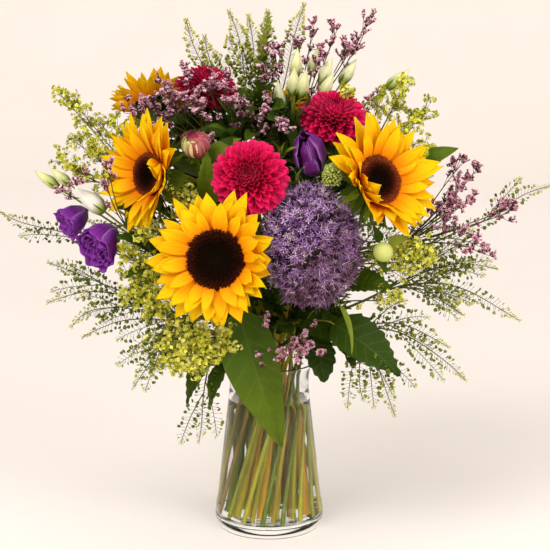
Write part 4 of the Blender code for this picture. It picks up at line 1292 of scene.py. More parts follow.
# side shoots too fine for the solids: tips of more froth and florets on the same plants
MORE_FROTH = {
    "left": [(-0.169, -0.050, 0.479), (-0.189, -0.050, 0.449), (-0.179, -0.070, 0.425),
             (-0.217, -0.030, 0.428),
             (-0.238, -0.020, 0.441), (-0.205, -0.030, 0.464), (-0.222, 0.000, 0.502),
             (-0.150, -0.020, 0.470)],
    "low_left": [(-0.049, -0.090, 0.240), (-0.093, -0.110, 0.236), (-0.098, -0.110, 0.221),
                 (-0.116, -0.100, 0.242),
                 (-0.153, -0.100, 0.343), (-0.145, -0.100, 0.306), (-0.131, -0.110, 0.295),
                 (-0.130, -0.108, 0.330),
                 (-0.101, -0.090, 0.259), (-0.087, -0.104, 0.246), (-0.061, -0.104, 0.235),
                 (-0.046, -0.088, 0.252),
                 (-0.076, -0.106, 0.221), (-0.121, -0.100, 0.279), (-0.156, -0.090, 0.319),
                 (-0.140, -0.100, 0.360)],
    "right": [(0.143, -0.020, 0.503), (0.159, -0.040, 0.476), (0.170, -0.050, 0.455), (0.178, -0.010, 0.495),
              (0.150, -0.040, 0.520), (0.091, -0.040, 0.516), (0.168, -0.060, 0.430)],
    "back": [(-0.060, 0.170, 0.300), (0.090, 0.170, 0.300), (0.010, 0.200, 0.360), (-0.110, 0.160, 0.320),
             (0.120, 0.150, 0.380), (0.000, 0.150, 0.280)],
}
MORE_STATICE = {
    "top_left": [(-0.152, -0.050, 0.494), (-0.136, -0.050, 0.501), (-0.065, -0.060, 0.520),
                 (-0.043, -0.070, 0.508),
                 (-0.085, -0.064, 0.508), (-0.108, -0.050, 0.502), (-0.007, -0.070, 0.488),
                 (-0.093, -0.040, 0.534)],
    "top": [(0.007, -0.010, 0.566), (0.035, 0.000, 0.572), (0.058, -0.020, 0.552), (0.087, 0.000, 0.562),
            (0.107, 0.020, 0.576), (0.075, 0.000, 0.580), (0.018, -0.080, 0.480), (0.001, -0.060, 0.504)],
    "right": [(0.212, -0.030, 0.428), (0.213, -0.050, 0.410), (0.227, -0.050, 0.398), (0.192, -0.060, 0.383),
              (0.217, -0.060, 0.368), (0.240, -0.050, 0.338), (0.264, -0.030, 0.382), (0.203, -0.060, 0.394)],
    "front": [(0.007, -0.108, 0.226), (-0.004, -0.104, 0.258), (0.024, -0.108, 0.232), (0.050, -0.108, 0.236),
              (0.044, -0.108, 0.252)],
    "back": [(0.060, 0.150, 0.500), (0.130, 0.150, 0.500), (-0.010, 0.130, 0.500), (-0.120, 0.100, 0.460),
             (0.020, 0.180, 0.400), (0.170, 0.100, 0.400)],
}
# tips of the loose shoots of froth, low at the left and higher among the blooms
FROTH_TIPS_LOW = [
    (-0.112, -0.102, 0.249), (-0.101, -0.096, 0.259), (-0.087, -0.108, 0.243), (-0.074, -0.096, 0.253),
    (-0.061, -0.106, 0.235), (-0.046, -0.094, 0.248), (-0.094, -0.110, 0.224), (-0.114, -0.104, 0.232),
    (-0.076, -0.110, 0.221), (-0.052, -0.090, 0.260), (-0.037, -0.092, 0.232), (-0.126, -0.096, 0.246),
]
FROTH_TIPS_HIGH = [
    (-0.160, -0.085, 0.347), (-0.143, -0.095, 0.326), (-0.131, -0.100, 0.304), (-0.151, -0.095, 0.294),
    (-0.125, -0.100, 0.329), (-0.130, -0.110, 0.372), (-0.121, -0.100, 0.279), (0.146, -0.110, 0.344),
    (0.165, -0.100, 0.336), (0.179, -0.090, 0.342), (0.156, -0.100, 0.327), (0.137, -0.100, 0.293),
    (-0.103, -0.100, 0.416), (-0.091, -0.110, 0.408), (-0.084, -0.110, 0.400), (-0.097, -0.100, 0.397),
    (0.155, -0.110, 0.350), (0.167, -0.100, 0.350),
]
# foot and tip of each loose shoot of statice, and for some a point they bend towards
STATICE_BITS = [
    ((-0.080, -0.050, 0.320), (-0.180, -0.132, 0.438), (-0.186, -0.080, 0.356)),
    ((-0.080, -0.050, 0.316), (-0.174, -0.142, 0.446), (-0.184, -0.084, 0.348)),
    ((0.050, 0.040, 0.400), (0.118, 0.034, 0.474)), ((0.050, 0.040, 0.380), (0.130, 0.048, 0.436)),
    ((0.050, 0.020, 0.350), (0.132, 0.008, 0.398)), ((-0.060, 0.050, 0.380), (-0.136, 0.052, 0.440)),
    ((-0.050, 0.040, 0.360), (-0.142, 0.030, 0.392)),
    ((-0.120, -0.050, 0.390), (-0.200, -0.080, 0.424)), ((-0.150, -0.030, 0.370), (-0.231, -0.050, 0.404)),
    ((-0.100, -0.020, 0.440), (-0.155, -0.030, 0.496)), ((-0.090, -0.020, 0.440), (-0.130, -0.034, 0.504)),
    ((-0.080, -0.020, 0.440), (-0.110, -0.034, 0.500)), ((-0.050, -0.030, 0.420), (-0.068, -0.070, 0.480)),
]
POD = pod_shape()
FLORET = star_shape(5, 0.0021, 0.0016, 0.0009, 0.0004, (0.0030, 0.0008))
TINY_STAR = star_shape(5, 0.0021, 0.0015, 0.0004, 0.0002)
# how ripe (pale and yellow) the pods of a spray are, and how many side shoots each shoot bears, where not two
RIPE = {"top": 0.46, "top_left": 0.50, "right": 0.36, "right_low": 0.30, "right_high": 0.30, "left": 0.26}
MORE_SHOOTS = {"top": 1, "top_left": 1, "left_high": 1, "right_high": 1, "right": 5, "back_left": 3,
               "back_right": 3}
SHOOT_POINTS = 34
RACEME_LENGTH = 0.125


def pennycress(name, fork, tips, seed):
    key = f"pennycress_{name}"
    rng, plant, trunk, fork = start_spray(key, fork, seed)
    habit = dict(pitch=0.00185, ripe=RIPE.get(name, 0.22))
    if name in ("top", "top_left"):
        habit = dict(pitch=0.0011, stalk=0.0092, size=0.0050, ripe=RIPE[name])
    for tip, path in zip(tips, spray_shoots(trunk, fork, tips)):
        path = resample(path, SHOOT_POINTS)
        wave = rng.normal(0, 1, 3) * 0.0022 * np.sin(np.linspace(0, 3 * np.pi, SHOOT_POINTS))[:, None]
        path = path + wave * ease(0, 1, np.linspace(0, 1, SHOOT_POINTS))[:, None]
        tube(plant, path, np.linspace(0.0011, 0.00035, SHOOT_POINTS), (0.3, 0, 0.7), 5)
        long = along_path(path)[-1]
        raceme(plant, path, rng, max(0.10, 1 - RACEME_LENGTH / long), **habit)
        for k in range(MORE_SHOOTS.get(name, 2)):
            share = rng.uniform(0.22, 0.62)
            i = int(share * (SHOOT_POINTS - 1))
            start, along = path[i], unit(path[i + 1] - path[i])
            apart = unit(unit(np.cross(along, (0, 1, 0))) * (-1) ** k + rng.normal(0, 0.45, 3))
            way = unit(along + apart * rng.uniform(0.35, 0.70) + vec(0, 0, 0.10))
            reach = min(0.070, (1 - share) * long) * rng.uniform(0.65, 1.0)
            sag = vec(0, 0, (-0.16 if tip[2] < fork[2] + 0.06 else 0.10) * reach)
            shoot = bezier(start, start + way * 0.35 * reach,
                           start + way * 0.75 * reach + along * 0.1 * reach,
                           start + way * reach + along * 0.25 * reach + sag, 14)
            tube(plant, shoot, np.linspace(0.0007, 0.0003, 15), (0.3, 0, 0.7), 4)
            raceme(plant, shoot, rng, 0.16, **habit)
    show(plant, f"{key}_sprigs", "pennycress", ["wiry", "pod", "stem"], key)


def statice_shoot(plant, path, rng, number):
    """A shoot with small one-sided rows of florets on the branchlets near its tip."""
    path = resample(path, 30)
    tube(plant, path, np.linspace(0.0011, 0.0005, 30), (0.3, 0, 0.35), 5)
    index = np.clip((30 * (1 - rng.beta(1.1, 2.8, number) * 0.42)).astype(int), 12, 29)
    starts, ways = path[index], unit(path[np.minimum(index + 1, 29)] - path[index - 1])
    _, ends, ways = splay(plant, starts, ways, 1, 0.60, (0.004, 0.013), 0.00045, rng, 0.30, 0.3)
    starts, ends, ways = splay(plant, ends, ways, 2, 0.50, (0.005, 0.010), 0.00036, rng, 0.30, 0.3)
    per = 6    # florets on each branchlet
    t = np.tile((np.arange(per) + 0.6) / per, len(starts))
    start, end, way = (np.repeat(x, per, axis=0) for x in (starts, ends, ways))
    n = len(start)
    aim = unit(unit(np.cross(way, rng.normal(0, 1, (n, 3)))) * 0.75 + way * 0.4 + vec(0, 0, 0.85))
    root = start + (end - start) * t[:, None]
    head = root + aim * rng.uniform(0.0024, 0.0040, (n, 1))
    sticks(plant, root, head, 0.0006, tone_rows(0.0, rng.uniform(0, 0.4, n)), 1.4, slot=1)
    sizes, tones = rng.uniform(0.75, 1.25, n), tone_rows(rng.normal(-0.06, 0.14, n), rng.uniform(0.1, 0.9, n))
    stamp(plant, FLORET, head, aim, sizes, tones, rng.uniform(0, 6, n), 1)


def loose_statice():
    """A few more statice shoots, between and over the blooms."""
    rng = np.random.default_rng(223)
    plant = Cloud()
    for foot, tip, *bend in STATICE_BITS:
        foot, tip = vec(*foot), vec(*tip)
        first = vec(*bend[0]) if bend else foot + vec(0, 0, 0.3 * np.linalg.norm(tip - foot))
        way = bezier(foot, first, tip - (tip - foot) * (0.12 if bend else 0.25), tip, 20)
        statice_shoot(plant, way, rng, 4)
    show(plant, "loose_statice", "statice", ["wiry", "statice"])


def green_umbel():
    """A round head of tiny green buds between the throatwort and the right-hand sunflower."""
    rng = np.random.default_rng(227)
    plant = Cloud()
    centre = vec(0.068, -0.128, 0.434)
    foot = vec(0.056, -0.060, 0.395)
    stalk = bezier(foot, foot + vec(0, -0.02, 0.02), centre - vec(0, -0.012, 0.016), centre, 10)
    tube(plant, stalk, 0.0011, (0, 0, 0.4), 6)
    n = 190
    i = np.arange(n)
    z = 1 - 1.75 * (i + 0.5) / n
    flat = np.sqrt(np.clip(1 - z * z, 0, 1))
    out = np.column_stack([flat * np.cos(i * GOLDEN), flat * np.sin(i * GOLDEN), z])
    out = unit(out + rng.normal(0, 0.06, (n, 3)))
    ends = centre + out * vec(0.0092, 0.0092, 0.0125) * rng.uniform(0.82, 1.08, (n, 1))
    sticks(plant, np.repeat(centre[None], n, axis=0), ends, 0.00035, (0, 0, 0.4))
    stamp(plant, cone_shape(6, 0.00115, 0.0024), ends, out, rng.uniform(0.8, 1.2, n),
          tone_rows(rng.uniform(0.05, 0.50, n), -0.25), rng.uniform(0, 6, n), 1)
    show(plant, "green_umbel", "stem", ["stem", "bud"])


def statice(name, fork, tips, seed):
    key = f"statice_{name}"
    rng, plant, trunk, fork = start_spray(key, fork, seed)
    for path in spray_shoots(trunk, fork, tips + MORE_STATICE[name]):
        statice_shoot(plant, path, rng, 5 if name == "front" else 9)
    show(plant, f"{key}_clusters", "statice", ["wiry", "statice", "stem"], key)


def froth_shoot(plant, path, rng, number=17, reach=0.42, pale=-0.20):
    """A shoot that branches over and over towards its tip, into a froth of tiny stars."""
    path = resample(path, 26)
    tube(plant, path, np.linspace(0.0011, 0.0005, 26), (0.3, 0, 0.85), 5)
    index = np.clip((26 * (1 - rng.beta(1.1, 2.4, number) * reach)).astype(int), 8, 25)
    starts, ways = path[index], unit(path[np.minimum(index + 1, 25)] - path[index - 1])
    _, ends, ways = splay(plant, starts, ways, 1, 0.60, (0.004, 0.013), 0.00036, rng, 0.15, 0.85)
    _, ends, ways = splay(plant, ends, ways, 3, 0.70, (0.003, 0.007), 0.00028, rng, 0.10, 0.9)
    _, ends, ways = splay(plant, ends, ways, 4, 0.85, (0.0015, 0.0040), 0.00020, rng, 0.10, 0.95)
    n = len(ends)
    sizes, tones = rng.uniform(0.75, 1.25, n), tone_rows(rng.normal(pale, 0.16, n), rng.random(n))
    stamp(plant, TINY_STAR, ends, ways, sizes, tones, rng.uniform(0, 6, n), 1)


def loose_froth():
    """More froth among the blooms, each shoot from deep in the bunch out to its tip."""
    rng = np.random.default_rng(211)
    plant = Cloud()
    for tips, pale in ((FROTH_TIPS_LOW, 0.04), (FROTH_TIPS_HIGH, -0.10)):
        for tip in tips:
            tip = np.asarray(tip, float)
            foot = tip * vec(0.55, 0.40, 1) - vec(0, 0, 0.020)
            path = bezier(foot, foot + vec(0, 0, 0.012), tip - (tip - foot) * 0.3, tip, 20)
            froth_shoot(plant, path, rng, 15, 0.5, pale)
    show(plant, "loose_froth", "ladys_mantle", ["wiry", "mantle"])


def ladys_mantle(name, fork, tips, seed):
    key = f"ladys_mantle_{name}"
    rng, plant, trunk, fork = start_spray(key, fork, seed)
    for path in spray_shoots(trunk, fork, tips + MORE_FROTH[name]):
        froth_shoot(plant, path, rng)
    show(plant, f"{key}_froth", "ladys_mantle", ["wiry", "mantle", "stem"], key)


# ---- lisianthus ----
def whorl(cloud, count, radius, height, turned, base, rng, spin, opening, wave, shut=0.0, flat=1.0,
          span=None):
    """Broad overlapping wavy petals round an axis, each with one edge outside its neighbour."""
    t = np.linspace(0, 1, 16)[:, None]
    s = np.linspace(-1, 1, 17)[None]
    stands = [0.14, 0.48 + 0.06 * shut, 0.88 + 0.10 * shut, 0.98 - 0.12 * shut,
              0.97 + 0.16 * opening - 0.62 * shut]
    swell = np.interp(t, [0, 0.12, 0.45, 0.8, 1.0], stands)
    for k in range(count):
        middle = spin + 2 * math.pi * k / count + rng.normal(0, 0.07)
        half = (span or 1.30 * math.pi / count) * rng.uniform(1.0, 1.2)
        azimuth = middle + s * (half * np.interp(t, [0, 0.15, 0.5, 0.85, 1.0], [0.55, 0.75, 1.0, 0.98, 0.80]))
        phase = rng.uniform(0, 6)
        r = radius * (swell * np.ones_like(s) + (0.05 + 0.09 * shut) * s * t
                      + wave * t**2.5 * np.sin(5.5 * s + phase))
        h = height * (t * (1 - 0.09 * s**2) + 0.030 * t**3 * np.sin(9 * s + 2 * phase))
        grid = np.stack([flat * r * np.cos(azimuth), r * np.sin(azimuth), h], axis=-1)
        tones = np.stack([t * np.ones_like(s), np.abs(s) * np.ones_like(t), np.full(r.shape, shut)], axis=-1)
        cloud.sheet(grid @ turned.T + base, tones)


# whorls of an open bloom: how many petals, their radius and height as shares of the bloom's, and how far
# they open
OPEN_WHORLS = ((5, 1.0, 1.0, 1.0), (5, 0.82, 0.99, 0.6), (4, 0.64, 0.96, 0.3), (4, 0.46, 0.94, 0.2),
               (3, 0.29, 0.92, 0.0), (2, 0.15, 0.90, 0.0))
# petals of a folded bloom: angle from the front, radius, height, and half the width in radians
SHUT_PETALS = ((1.75, 1.0, 0.98, 1.10), (-1.95, 1.0, 0.94, 1.10), (3.14, 0.94, 1.05, 0.9),
               (0.85, 0.66, 0.92, 0.7),
               (-0.70, 0.70, 0.86, 0.7), (0.15, 0.42, 0.84, 0.8), (-0.15, 0.95, 0.56, 0.55))


def lisianthus_bloom(key, base, facing, length, mouth, seed, shut=0.0):
    rng = np.random.default_rng(seed)
    axis = unit(facing)
    turned = facing_frame(axis)
    base = np.asarray(base, float)
    bloom = Cloud()
    towards_front = math.atan2(*(vec(0, -1, 0) @ turned)[1::-1])
    if shut:
        for way, radius, height, span in SHUT_PETALS:
            whorl(bloom, 1, mouth * radius, length * height, turned, base, rng, towards_front + way, 0.0,
                  0.05,
                  shut, span=span)
    else:
        for count, radius, height, opening in OPEN_WHORLS:
            whorl(bloom, count, mouth * radius, length * height, turned, base, rng, rng.uniform(0, 6),
                  opening,
                  0.11, flat=0.80)
    made = show(bloom, f"{key}_petals", "lisianthus_petal", ["lisianthus"], key)
    thicken(made, 0.0004)


def sepals(cloud, length, width, slopes, shade, root, turned, base):
    """Five narrow sepals round the base of a bud or bloom."""
    sepal, own = blade(length, width, ([0, 0.4, 1.0], [1.0, 0.8, 0.05]), 8, 3, slopes, cup=0.4, rand=shade)
    for k in range(5):
        cloud.sheet(around(sepal + root, 2 * math.pi * k / 5, turned, base), own, 2)


def spindle_bud(cloud, base, axis, length, radius, white):
    """A pointed bud, its petals twisted round one another, with narrow sepals at its base."""
    turned = facing_frame(axis)
    t = np.linspace(0, 1, 20)[:, None]
    a = np.linspace(0, 2 * np.pi, 20, endpoint=False)[None]
    girth = radius * np.interp(t, [0, 0.08, 0.28, 0.50, 0.75, 0.92, 1.0],
                               [0.35, 0.72, 1.0, 0.94, 0.55, 0.20, 0.02])
    twist = 5 * a - 5.5 * t
    r = girth * (1 + 0.10 * np.sin(twist) + 0.05 * np.sin(2 * twist))
    grid = np.stack([r * np.cos(a), r * np.sin(a), length * t * np.ones_like(a)], axis=-1)
    tones = np.stack([t * np.ones_like(a), 0 * r, white * ease(0.08, 0.4, t) * np.ones_like(a)], axis=-1)
    cloud.sheet(grid @ turned.T + base, tones, 1, closed=True)
    sepals(cloud, length * 0.42, 0.0028, (1.15, 1.45), 0.72, vec(0.62 * radius, 0, 0), turned, base)


# length, radius and whiteness of some buds, by plant and number
BUD_SIZES = {("left", 0): (0.043, 0.0100, 0.95), ("left", 1): (0.034, 0.0060, 0.10),
             ("left", 2): (0.030, 0.0060, 0.15)}
# buds too fine for the solids
MORE_BUDS = {"left": [(-0.244, -0.030, 0.428)],
             "buds": [(0.032, -0.030, 0.564), (0.040, -0.060, 0.539), (0.070, -0.030, 0.534),
                      (0.070, -0.020, 0.554)]}


def lisianthus(name, fork, blooms, buds, seed):
    rng = np.random.default_rng(seed)
    key = f"lisianthus_{name}"
    fork = np.asarray(fork, float)
    outward = unit(unit(vec(fork[0], fork[1], 0)) * 0.6 + vec(0, 0, 0.8))
    plant = Cloud()
    trunk = stem_path(key, fork, outward)
    tube(plant, trunk, stem_girth(trunk, LISIANTHUS_STEM, 0.75), (0, 0, stem_tone(rng)), 10)
    for number, (bloom, base, facing, length, mouth) in enumerate(blooms):
        axis = unit(facing)
        base = np.asarray(base, float)
        start = trunk[-2]
        end = base - axis * 0.0014
        reach = np.linalg.norm(end - start)
        shoot = bezier(start, start + outward * reach * 0.35, end - axis * reach * 0.35, end, 16)
        shoot = np.vstack([shoot, base + axis * 0.003])
        tube(plant, shoot, np.linspace(0.0016, 0.0013, len(shoot)), (0, 0, 0.35), 8)
        turned = facing_frame(axis)
        cup = smooth_profile([(0, -0.002), (0.0022, -0.001), (0.0036, 0.002), (0.0040, 0.005), (0, 0.005)], 4)
        lathe(plant, cup, 14, (0, 0, 0.35), 0, turned, base)
        sepals(plant, 0.017, 0.0030, (0.9, 1.25), 0.55, vec(0.0032, 0, 0.002), turned, base)
        own_seed = seed + 7 * number + 1
        lisianthus_bloom(f"{key}_bloom_{bloom}", base, facing, length, mouth, own_seed, bloom == "upright")
    for number, tip in enumerate(buds + MORE_BUDS.get(name, [])):
        length, radius, white = BUD_SIZES.get((name, number), (0.035, 0.0068, 0.15 + 0.25 * rng.random()))
        shoot = shoot_path(trunk, 0.86, tip)
        way = along_path(shoot)
        cut = int(np.searchsorted(way, way[-1] - length))
        stalk = shoot[:max(3, cut + 1)]
        axis = unit(shoot[-1] - stalk[-1])
        tube(plant, stalk, np.linspace(0.0014, 0.0010, len(stalk)), (0, 0, 0.40), 7)
        spindle_bud(plant, stalk[-1], axis, length, radius, white)
        if number % 2 == 0:
            mid = stalk[len(stalk) // 2]
            tip = mid + unit(vec(*rng.normal(0, 0.5, 2), 0.9)) * 0.026
            leaf(plant, mid, tip, rng.normal(0, 1, 3), 0.008, rng, 0.55, outline=NARROW_OUTLINE, slot=2,
                 rows=12,
                 cols=5)
    show(plant, f"{key}_stalks", "stem", ["stem", "bud", "leaf"], f"{key}_stem")


# ---- loose foliage ----
def heart_rim(z):
    """How far the foliage in the heart of the bunch reaches from its axis at a height."""
    heights = [0.225, 0.27, 0.32, 0.38, 0.44, 0.50, 0.53]
    return np.interp(z, heights, [0.045, 0.095, 0.118, 0.124, 0.118, 0.094, 0.048])


def covers_bloom(point):
    """Whether a point is in front of a bloom's face, where a leaf would hide it."""
    blooms = [row[2:5] for row in SUNFLOWERS + DAHLIAS] + [THROATWORT[1:]]
    for centre, facing, radius in blooms:
        away = point - vec(*centre)
        ahead = away @ unit(facing)
        if -0.2 * radius < ahead < 0.080 and np.linalg.norm(away - ahead * unit(facing)) < 0.92 * radius:
            return True
    return False


def inner_foliage():
    """Dark leaves in the heart of the bunch, which close the gaps between the blooms; their darkness is
    painted shade.
    """
    rng = np.random.default_rng(404)
    cloud = Cloud()
    n = 430
    for i in range(n):
        angle = i * GOLDEN
        z = 0.235 + 0.275 * (i + 0.5) / n
        r = heart_rim(z) * math.sqrt(rng.uniform(0.10, 1.0))
        base = on_ring(r * 0.68, angle, z)
        out = unit(vec(math.cos(angle), math.sin(angle), rng.uniform(-0.45, 0.9)) + rng.normal(0, 0.35, 3))
        length = rng.uniform(0.030, 0.052)
        if covers_bloom(base + out * length):
            continue
        upper_side = unit(on_ring(1.0, angle, 0.8) + rng.normal(0, 0.5, 3))
        # dark tones: painted shade in the heart of the bunch
        leaf(cloud, base, base + out * length, upper_side, length * rng.uniform(0.34, 0.50), rng,
             rng.uniform(0.0, 0.55), slot=0, rows=10, cols=7,
             outline=NARROW_OUTLINE if i % 3 else LEAF_OUTLINE)
    show(cloud, "inner_foliage", "stem", ["leaf"])


def small_leaved_sprigs():
    """Short sprigs of small leaves that stand among the blooms on every side."""
    rng = np.random.default_rng(77)
    cloud = Cloud()
    n = 44
    for i in range(n):
        angle = i * GOLDEN
        z = 0.250 + 0.235 * ((i * 0.618) % 1.0)
        rim = heart_rim(z)
        foot = on_ring(rim * 0.45, angle, z - 0.030)
        tip = on_ring(rim * rng.uniform(1.08, 1.26), angle + rng.normal(0, 0.1),
                      z + rng.uniform(0.000, 0.036))
        if covers_bloom(tip):
            continue
        # leaves darker at the foot, deep in the bunch, and paler towards the tip: painted shade
        leafy_spike(cloud, foot, tip, rng, 0.55, 34, 0.0125, (rng.uniform(0.1, 0.4), rng.uniform(0.4, 0.8)))
    show(cloud, "small_leaved_sprigs", "stem", ["stem", "leaf"])


def leafy_spike(cloud, foot, tip, rng, girth, count, size, tones):
    """An upright shoot closely set with small upward leaves."""
    foot, tip = np.asarray(foot, float), np.asarray(tip, float)
    path = bezier(foot, foot + (tip - foot) * 0.4, tip - (tip - foot) * 0.3, tip, 20)
    tube(cloud, path, np.linspace(0.0016, 0.0006, 21), (0, 0, 0.4), 6, 0)
    along = unit(tip - foot)
    side = unit(np.cross(along, (0.2, 0.9, 0.1)))
    for i in range(count):
        share = (i + 0.5) / count
        root = path[int(share * 20)]
        a = i * GOLDEN
        out = side * math.cos(a) + np.cross(along, side) * math.sin(a)
        shrink = 1 - 0.55 * ease(0.55, 1.0, share)
        end = root + unit(out * girth + along * (1 - girth)) * size * shrink * rng.uniform(0.8, 1.15)
        upper_side = unit(along - out * 0.4 + rng.normal(0, 0.2, 3))
        tone = float(np.clip(rng.normal(np.interp(share, [0, 1], tones), 0.16), 0, 1))
        leaf(cloud, root, end, upper_side, size * 0.42 * shrink, rng, tone, outline=NARROW_OUTLINE, rows=8,
             cols=5)


def top_foliage():
    """Three shoots at the top of the bunch, one close and pale above, two dark and leafy below."""
    rng = np.random.default_rng(88)
    cloud = Cloud()
    leafy_spike(cloud, (-0.013, -0.010, 0.500), (0.000, 0.004, 0.607), rng, 0.54, 118, 0.0150, (0.50, 1.20))
    leafy_spike(cloud, (-0.010, -0.046, 0.400), (-0.014, -0.044, 0.522), rng, 0.62, 130, 0.017, (0.18, 0.42))
    leafy_spike(cloud, (0.020, -0.030, 0.410), (0.014, -0.040, 0.505), rng, 0.62, 80, 0.016, (0.18, 0.35))
    show(cloud, "top_foliage", "stem", ["stem", "leaf"])


# leaves on stalks of their own: base, tip, the way the upper side faces, width, how pale it is, teeth
COLLAR_LEAVES = [
    ((0.036, -0.060, 0.262), (0.100, -0.098, 0.238), (0.2, -0.8, 0.6), 0.034, 0.22, 8),
    ((0.066, -0.058, 0.276), (0.094, -0.094, 0.216), (0.4, -0.9, 0.3), 0.030, 0.14, 8),
    ((-0.052, -0.070, 0.212), (-0.065, -0.087, 0.171), (-0.5, -0.8, 0.2), 0.019, 0.46, 5),
    ((-0.050, -0.070, 0.217), (-0.083, -0.085, 0.217), (-0.3, -0.8, 0.6), 0.017, 0.46, 5),
    ((0.078, -0.112, 0.290), (0.090, -0.130, 0.240), (0.9, -0.7, 0.2), 0.011, 0.82, 0),
    ((-0.071, -0.080, 0.445), (-0.031, -0.090, 0.470), (0.1, -0.8, 0.6), 0.021, 0.76, 0),
    ((0.012, -0.100, 0.452), (0.006, -0.124, 0.468), (0.0, -0.7, 0.7), 0.008, 0.84, 0),
    ((0.014, -0.100, 0.452), (0.020, -0.126, 0.470), (0.0, -0.7, 0.7), 0.008, 0.80, 0),
    ((0.016, -0.100, 0.452), (0.032, -0.122, 0.464), (0.0, -0.7, 0.7), 0.008, 0.86, 0),
    ((0.030, -0.110, 0.428), (0.022, -0.132, 0.444), (0.0, -0.7, 0.7), 0.008, 0.84, 0),
    ((0.032, -0.110, 0.428), (0.040, -0.134, 0.444), (0.0, -0.7, 0.7), 0.008, 0.80, 0),
    ((0.010, -0.062, 0.254), (0.026, -0.104, 0.252), (0.1, -0.5, 0.9), 0.022, 0.35, 5),
    ((-0.060, -0.030, 0.300), (-0.118, -0.072, 0.300), (-0.5, -0.6, 0.7), 0.030, 0.28, 6),
    ((-0.094, -0.050, 0.330), (-0.140, -0.086, 0.348), (-0.2, -0.8, 0.6), 0.026, 0.38, 6),
    ((0.130, -0.122, 0.358), (0.154, -0.130, 0.367), (0.0, -0.8, 0.6), 0.014, 0.86, 0),
    ((0.121, -0.112, 0.345), (0.128, -0.122, 0.326), (0.1, -0.9, 0.3), 0.011, 0.40, 0),
    ((0.122, -0.112, 0.360), (0.113, -0.122, 0.380), (0.1, -0.9, 0.3), 0.011, 0.30, 0),
    ((-0.075, 0.006, 0.476), (-0.104, -0.016, 0.496), (-0.2, -0.7, 0.7), 0.024, 0.34, 5),
    ((-0.084, -0.004, 0.488), (-0.118, -0.012, 0.480), (-0.2, -0.7, 0.7), 0.024, 0.30, 5),
    ((-0.010, -0.006, 0.476), (-0.032, -0.018, 0.500), (-0.1, -0.7, 0.7), 0.022, 0.30, 5),
    ((-0.040, -0.006, 0.470), (-0.020, -0.020, 0.494), (0.1, -0.7, 0.7), 0.020, 0.34, 5),
    ((-0.085, 0.000, 0.462), (-0.112, -0.030, 0.470), (-0.2, -0.7, 0.7), 0.022, 0.30, 5),
    ((-0.080, -0.014, 0.446), (-0.100, -0.046, 0.462), (-0.2, -0.7, 0.7), 0.022, 0.36, 5),
    ((-0.060, -0.010, 0.470), (-0.078, -0.036, 0.492), (-0.2, -0.7, 0.7), 0.020, 0.30, 5),
    ((-0.070, 0.010, 0.466), (-0.116, -0.012, 0.481), (-0.2, -0.7, 0.7), 0.026, 0.26, 5),
    ((-0.100, 0.004, 0.456), (-0.088, -0.020, 0.491), (-0.2, -0.7, 0.7), 0.026, 0.34, 5),
    ((-0.086, 0.010, 0.440), (-0.114, -0.014, 0.461), (-0.2, -0.7, 0.7), 0.026, 0.28, 5),
    ((-0.080, -0.008, 0.464), (-0.110, -0.024, 0.452), (-0.2, -0.7, 0.7), 0.024, 0.34, 5),
    ((-0.110, 0.000, 0.452), (-0.104, -0.026, 0.478), (-0.2, -0.7, 0.7), 0.022, 0.30, 5),
    ((-0.004, 0.000, 0.462), (-0.028, -0.018, 0.489), (-0.1, -0.7, 0.7), 0.024, 0.30, 5),
    ((-0.034, 0.000, 0.462), (-0.012, -0.018, 0.486), (0.1, -0.7, 0.7), 0.022, 0.26, 5),
    ((-0.125, -0.060, 0.375), (-0.165, -0.110, 0.395), (-0.3, -0.8, 0.6), 0.026, 0.22, 6),
    ((-0.130, -0.070, 0.340), (-0.165, -0.115, 0.365), (-0.3, -0.8, 0.6), 0.028, 0.30, 6),
    ((-0.125, -0.075, 0.325), (-0.155, -0.120, 0.320), (-0.3, -0.8, 0.6), 0.022, 0.40, 5),
    ((0.030, 0.050, 0.252), (0.056, 0.098, 0.226), (0.3, 0.8, 0.5), 0.036, 0.25, 8),
    ((-0.024, 0.056, 0.248), (-0.064, 0.100, 0.212), (-0.3, 0.8, 0.5), 0.038, 0.30, 8),
    ((0.064, 0.010, 0.252), (0.118, 0.030, 0.226), (0.8, 0.2, 0.6), 0.036, 0.22, 8),
    ((-0.062, 0.016, 0.250), (-0.116, 0.028, 0.222), (-0.8, 0.2, 0.6), 0.034, 0.26, 8),
    ((0.070, 0.056, 0.330), (0.140, 0.104, 0.346), (0.4, 0.5, 0.8), 0.034, 0.35, 8),
    ((-0.060, 0.080, 0.350), (-0.118, 0.132, 0.372), (-0.4, 0.5, 0.8), 0.034, 0.30, 8),
    ((0.000, 0.080, 0.400), (0.006, 0.140, 0.392), (0.0, 0.5, 0.9), 0.034, 0.28, 8),
    ((-0.050, 0.060, 0.440), (-0.080, 0.110, 0.470), (-0.3, 0.6, 0.7), 0.030, 0.33, 8),
    ((0.070, 0.060, 0.440), (0.104, 0.104, 0.480), (0.3, 0.6, 0.7), 0.030, 0.33, 8),
]


def collar_leaves():
    """Leaves over the tie and the neck of the vase, and others between the blooms, on every side."""
    rng = np.random.default_rng(17)
    cloud = Cloud()
    for base, tip, up, width, tone, teeth in COLLAR_LEAVES:
        base, tip = np.asarray(base, float), np.asarray(tip, float)
        inward = vec(base[0] * 0.55, base[1] * 0.55, base[2] - 0.030)
        stalk = bezier(inward, inward + vec(0, 0, 0.015), base - unit(tip - base) * 0.010, base, 8)
        tube(cloud, stalk, 0.0010, (0, 0, 0.3), 6)
        leaf(cloud, base, tip, up, width, rng, tone, teeth=teeth, rows=24, cols=9)
    show(cloud, "collar_foliage", "stem", ["stem", "leaf"])


# ---- vase and water ----
def inside_radius(height):
    """Radius of the vase's straight inner side."""
    return np.interp(height, [HEEL_HEIGHT, NECK_HEIGHT], [HEEL_RADIUS - WALL - 0.0006, NECK_RADIUS - WALL])


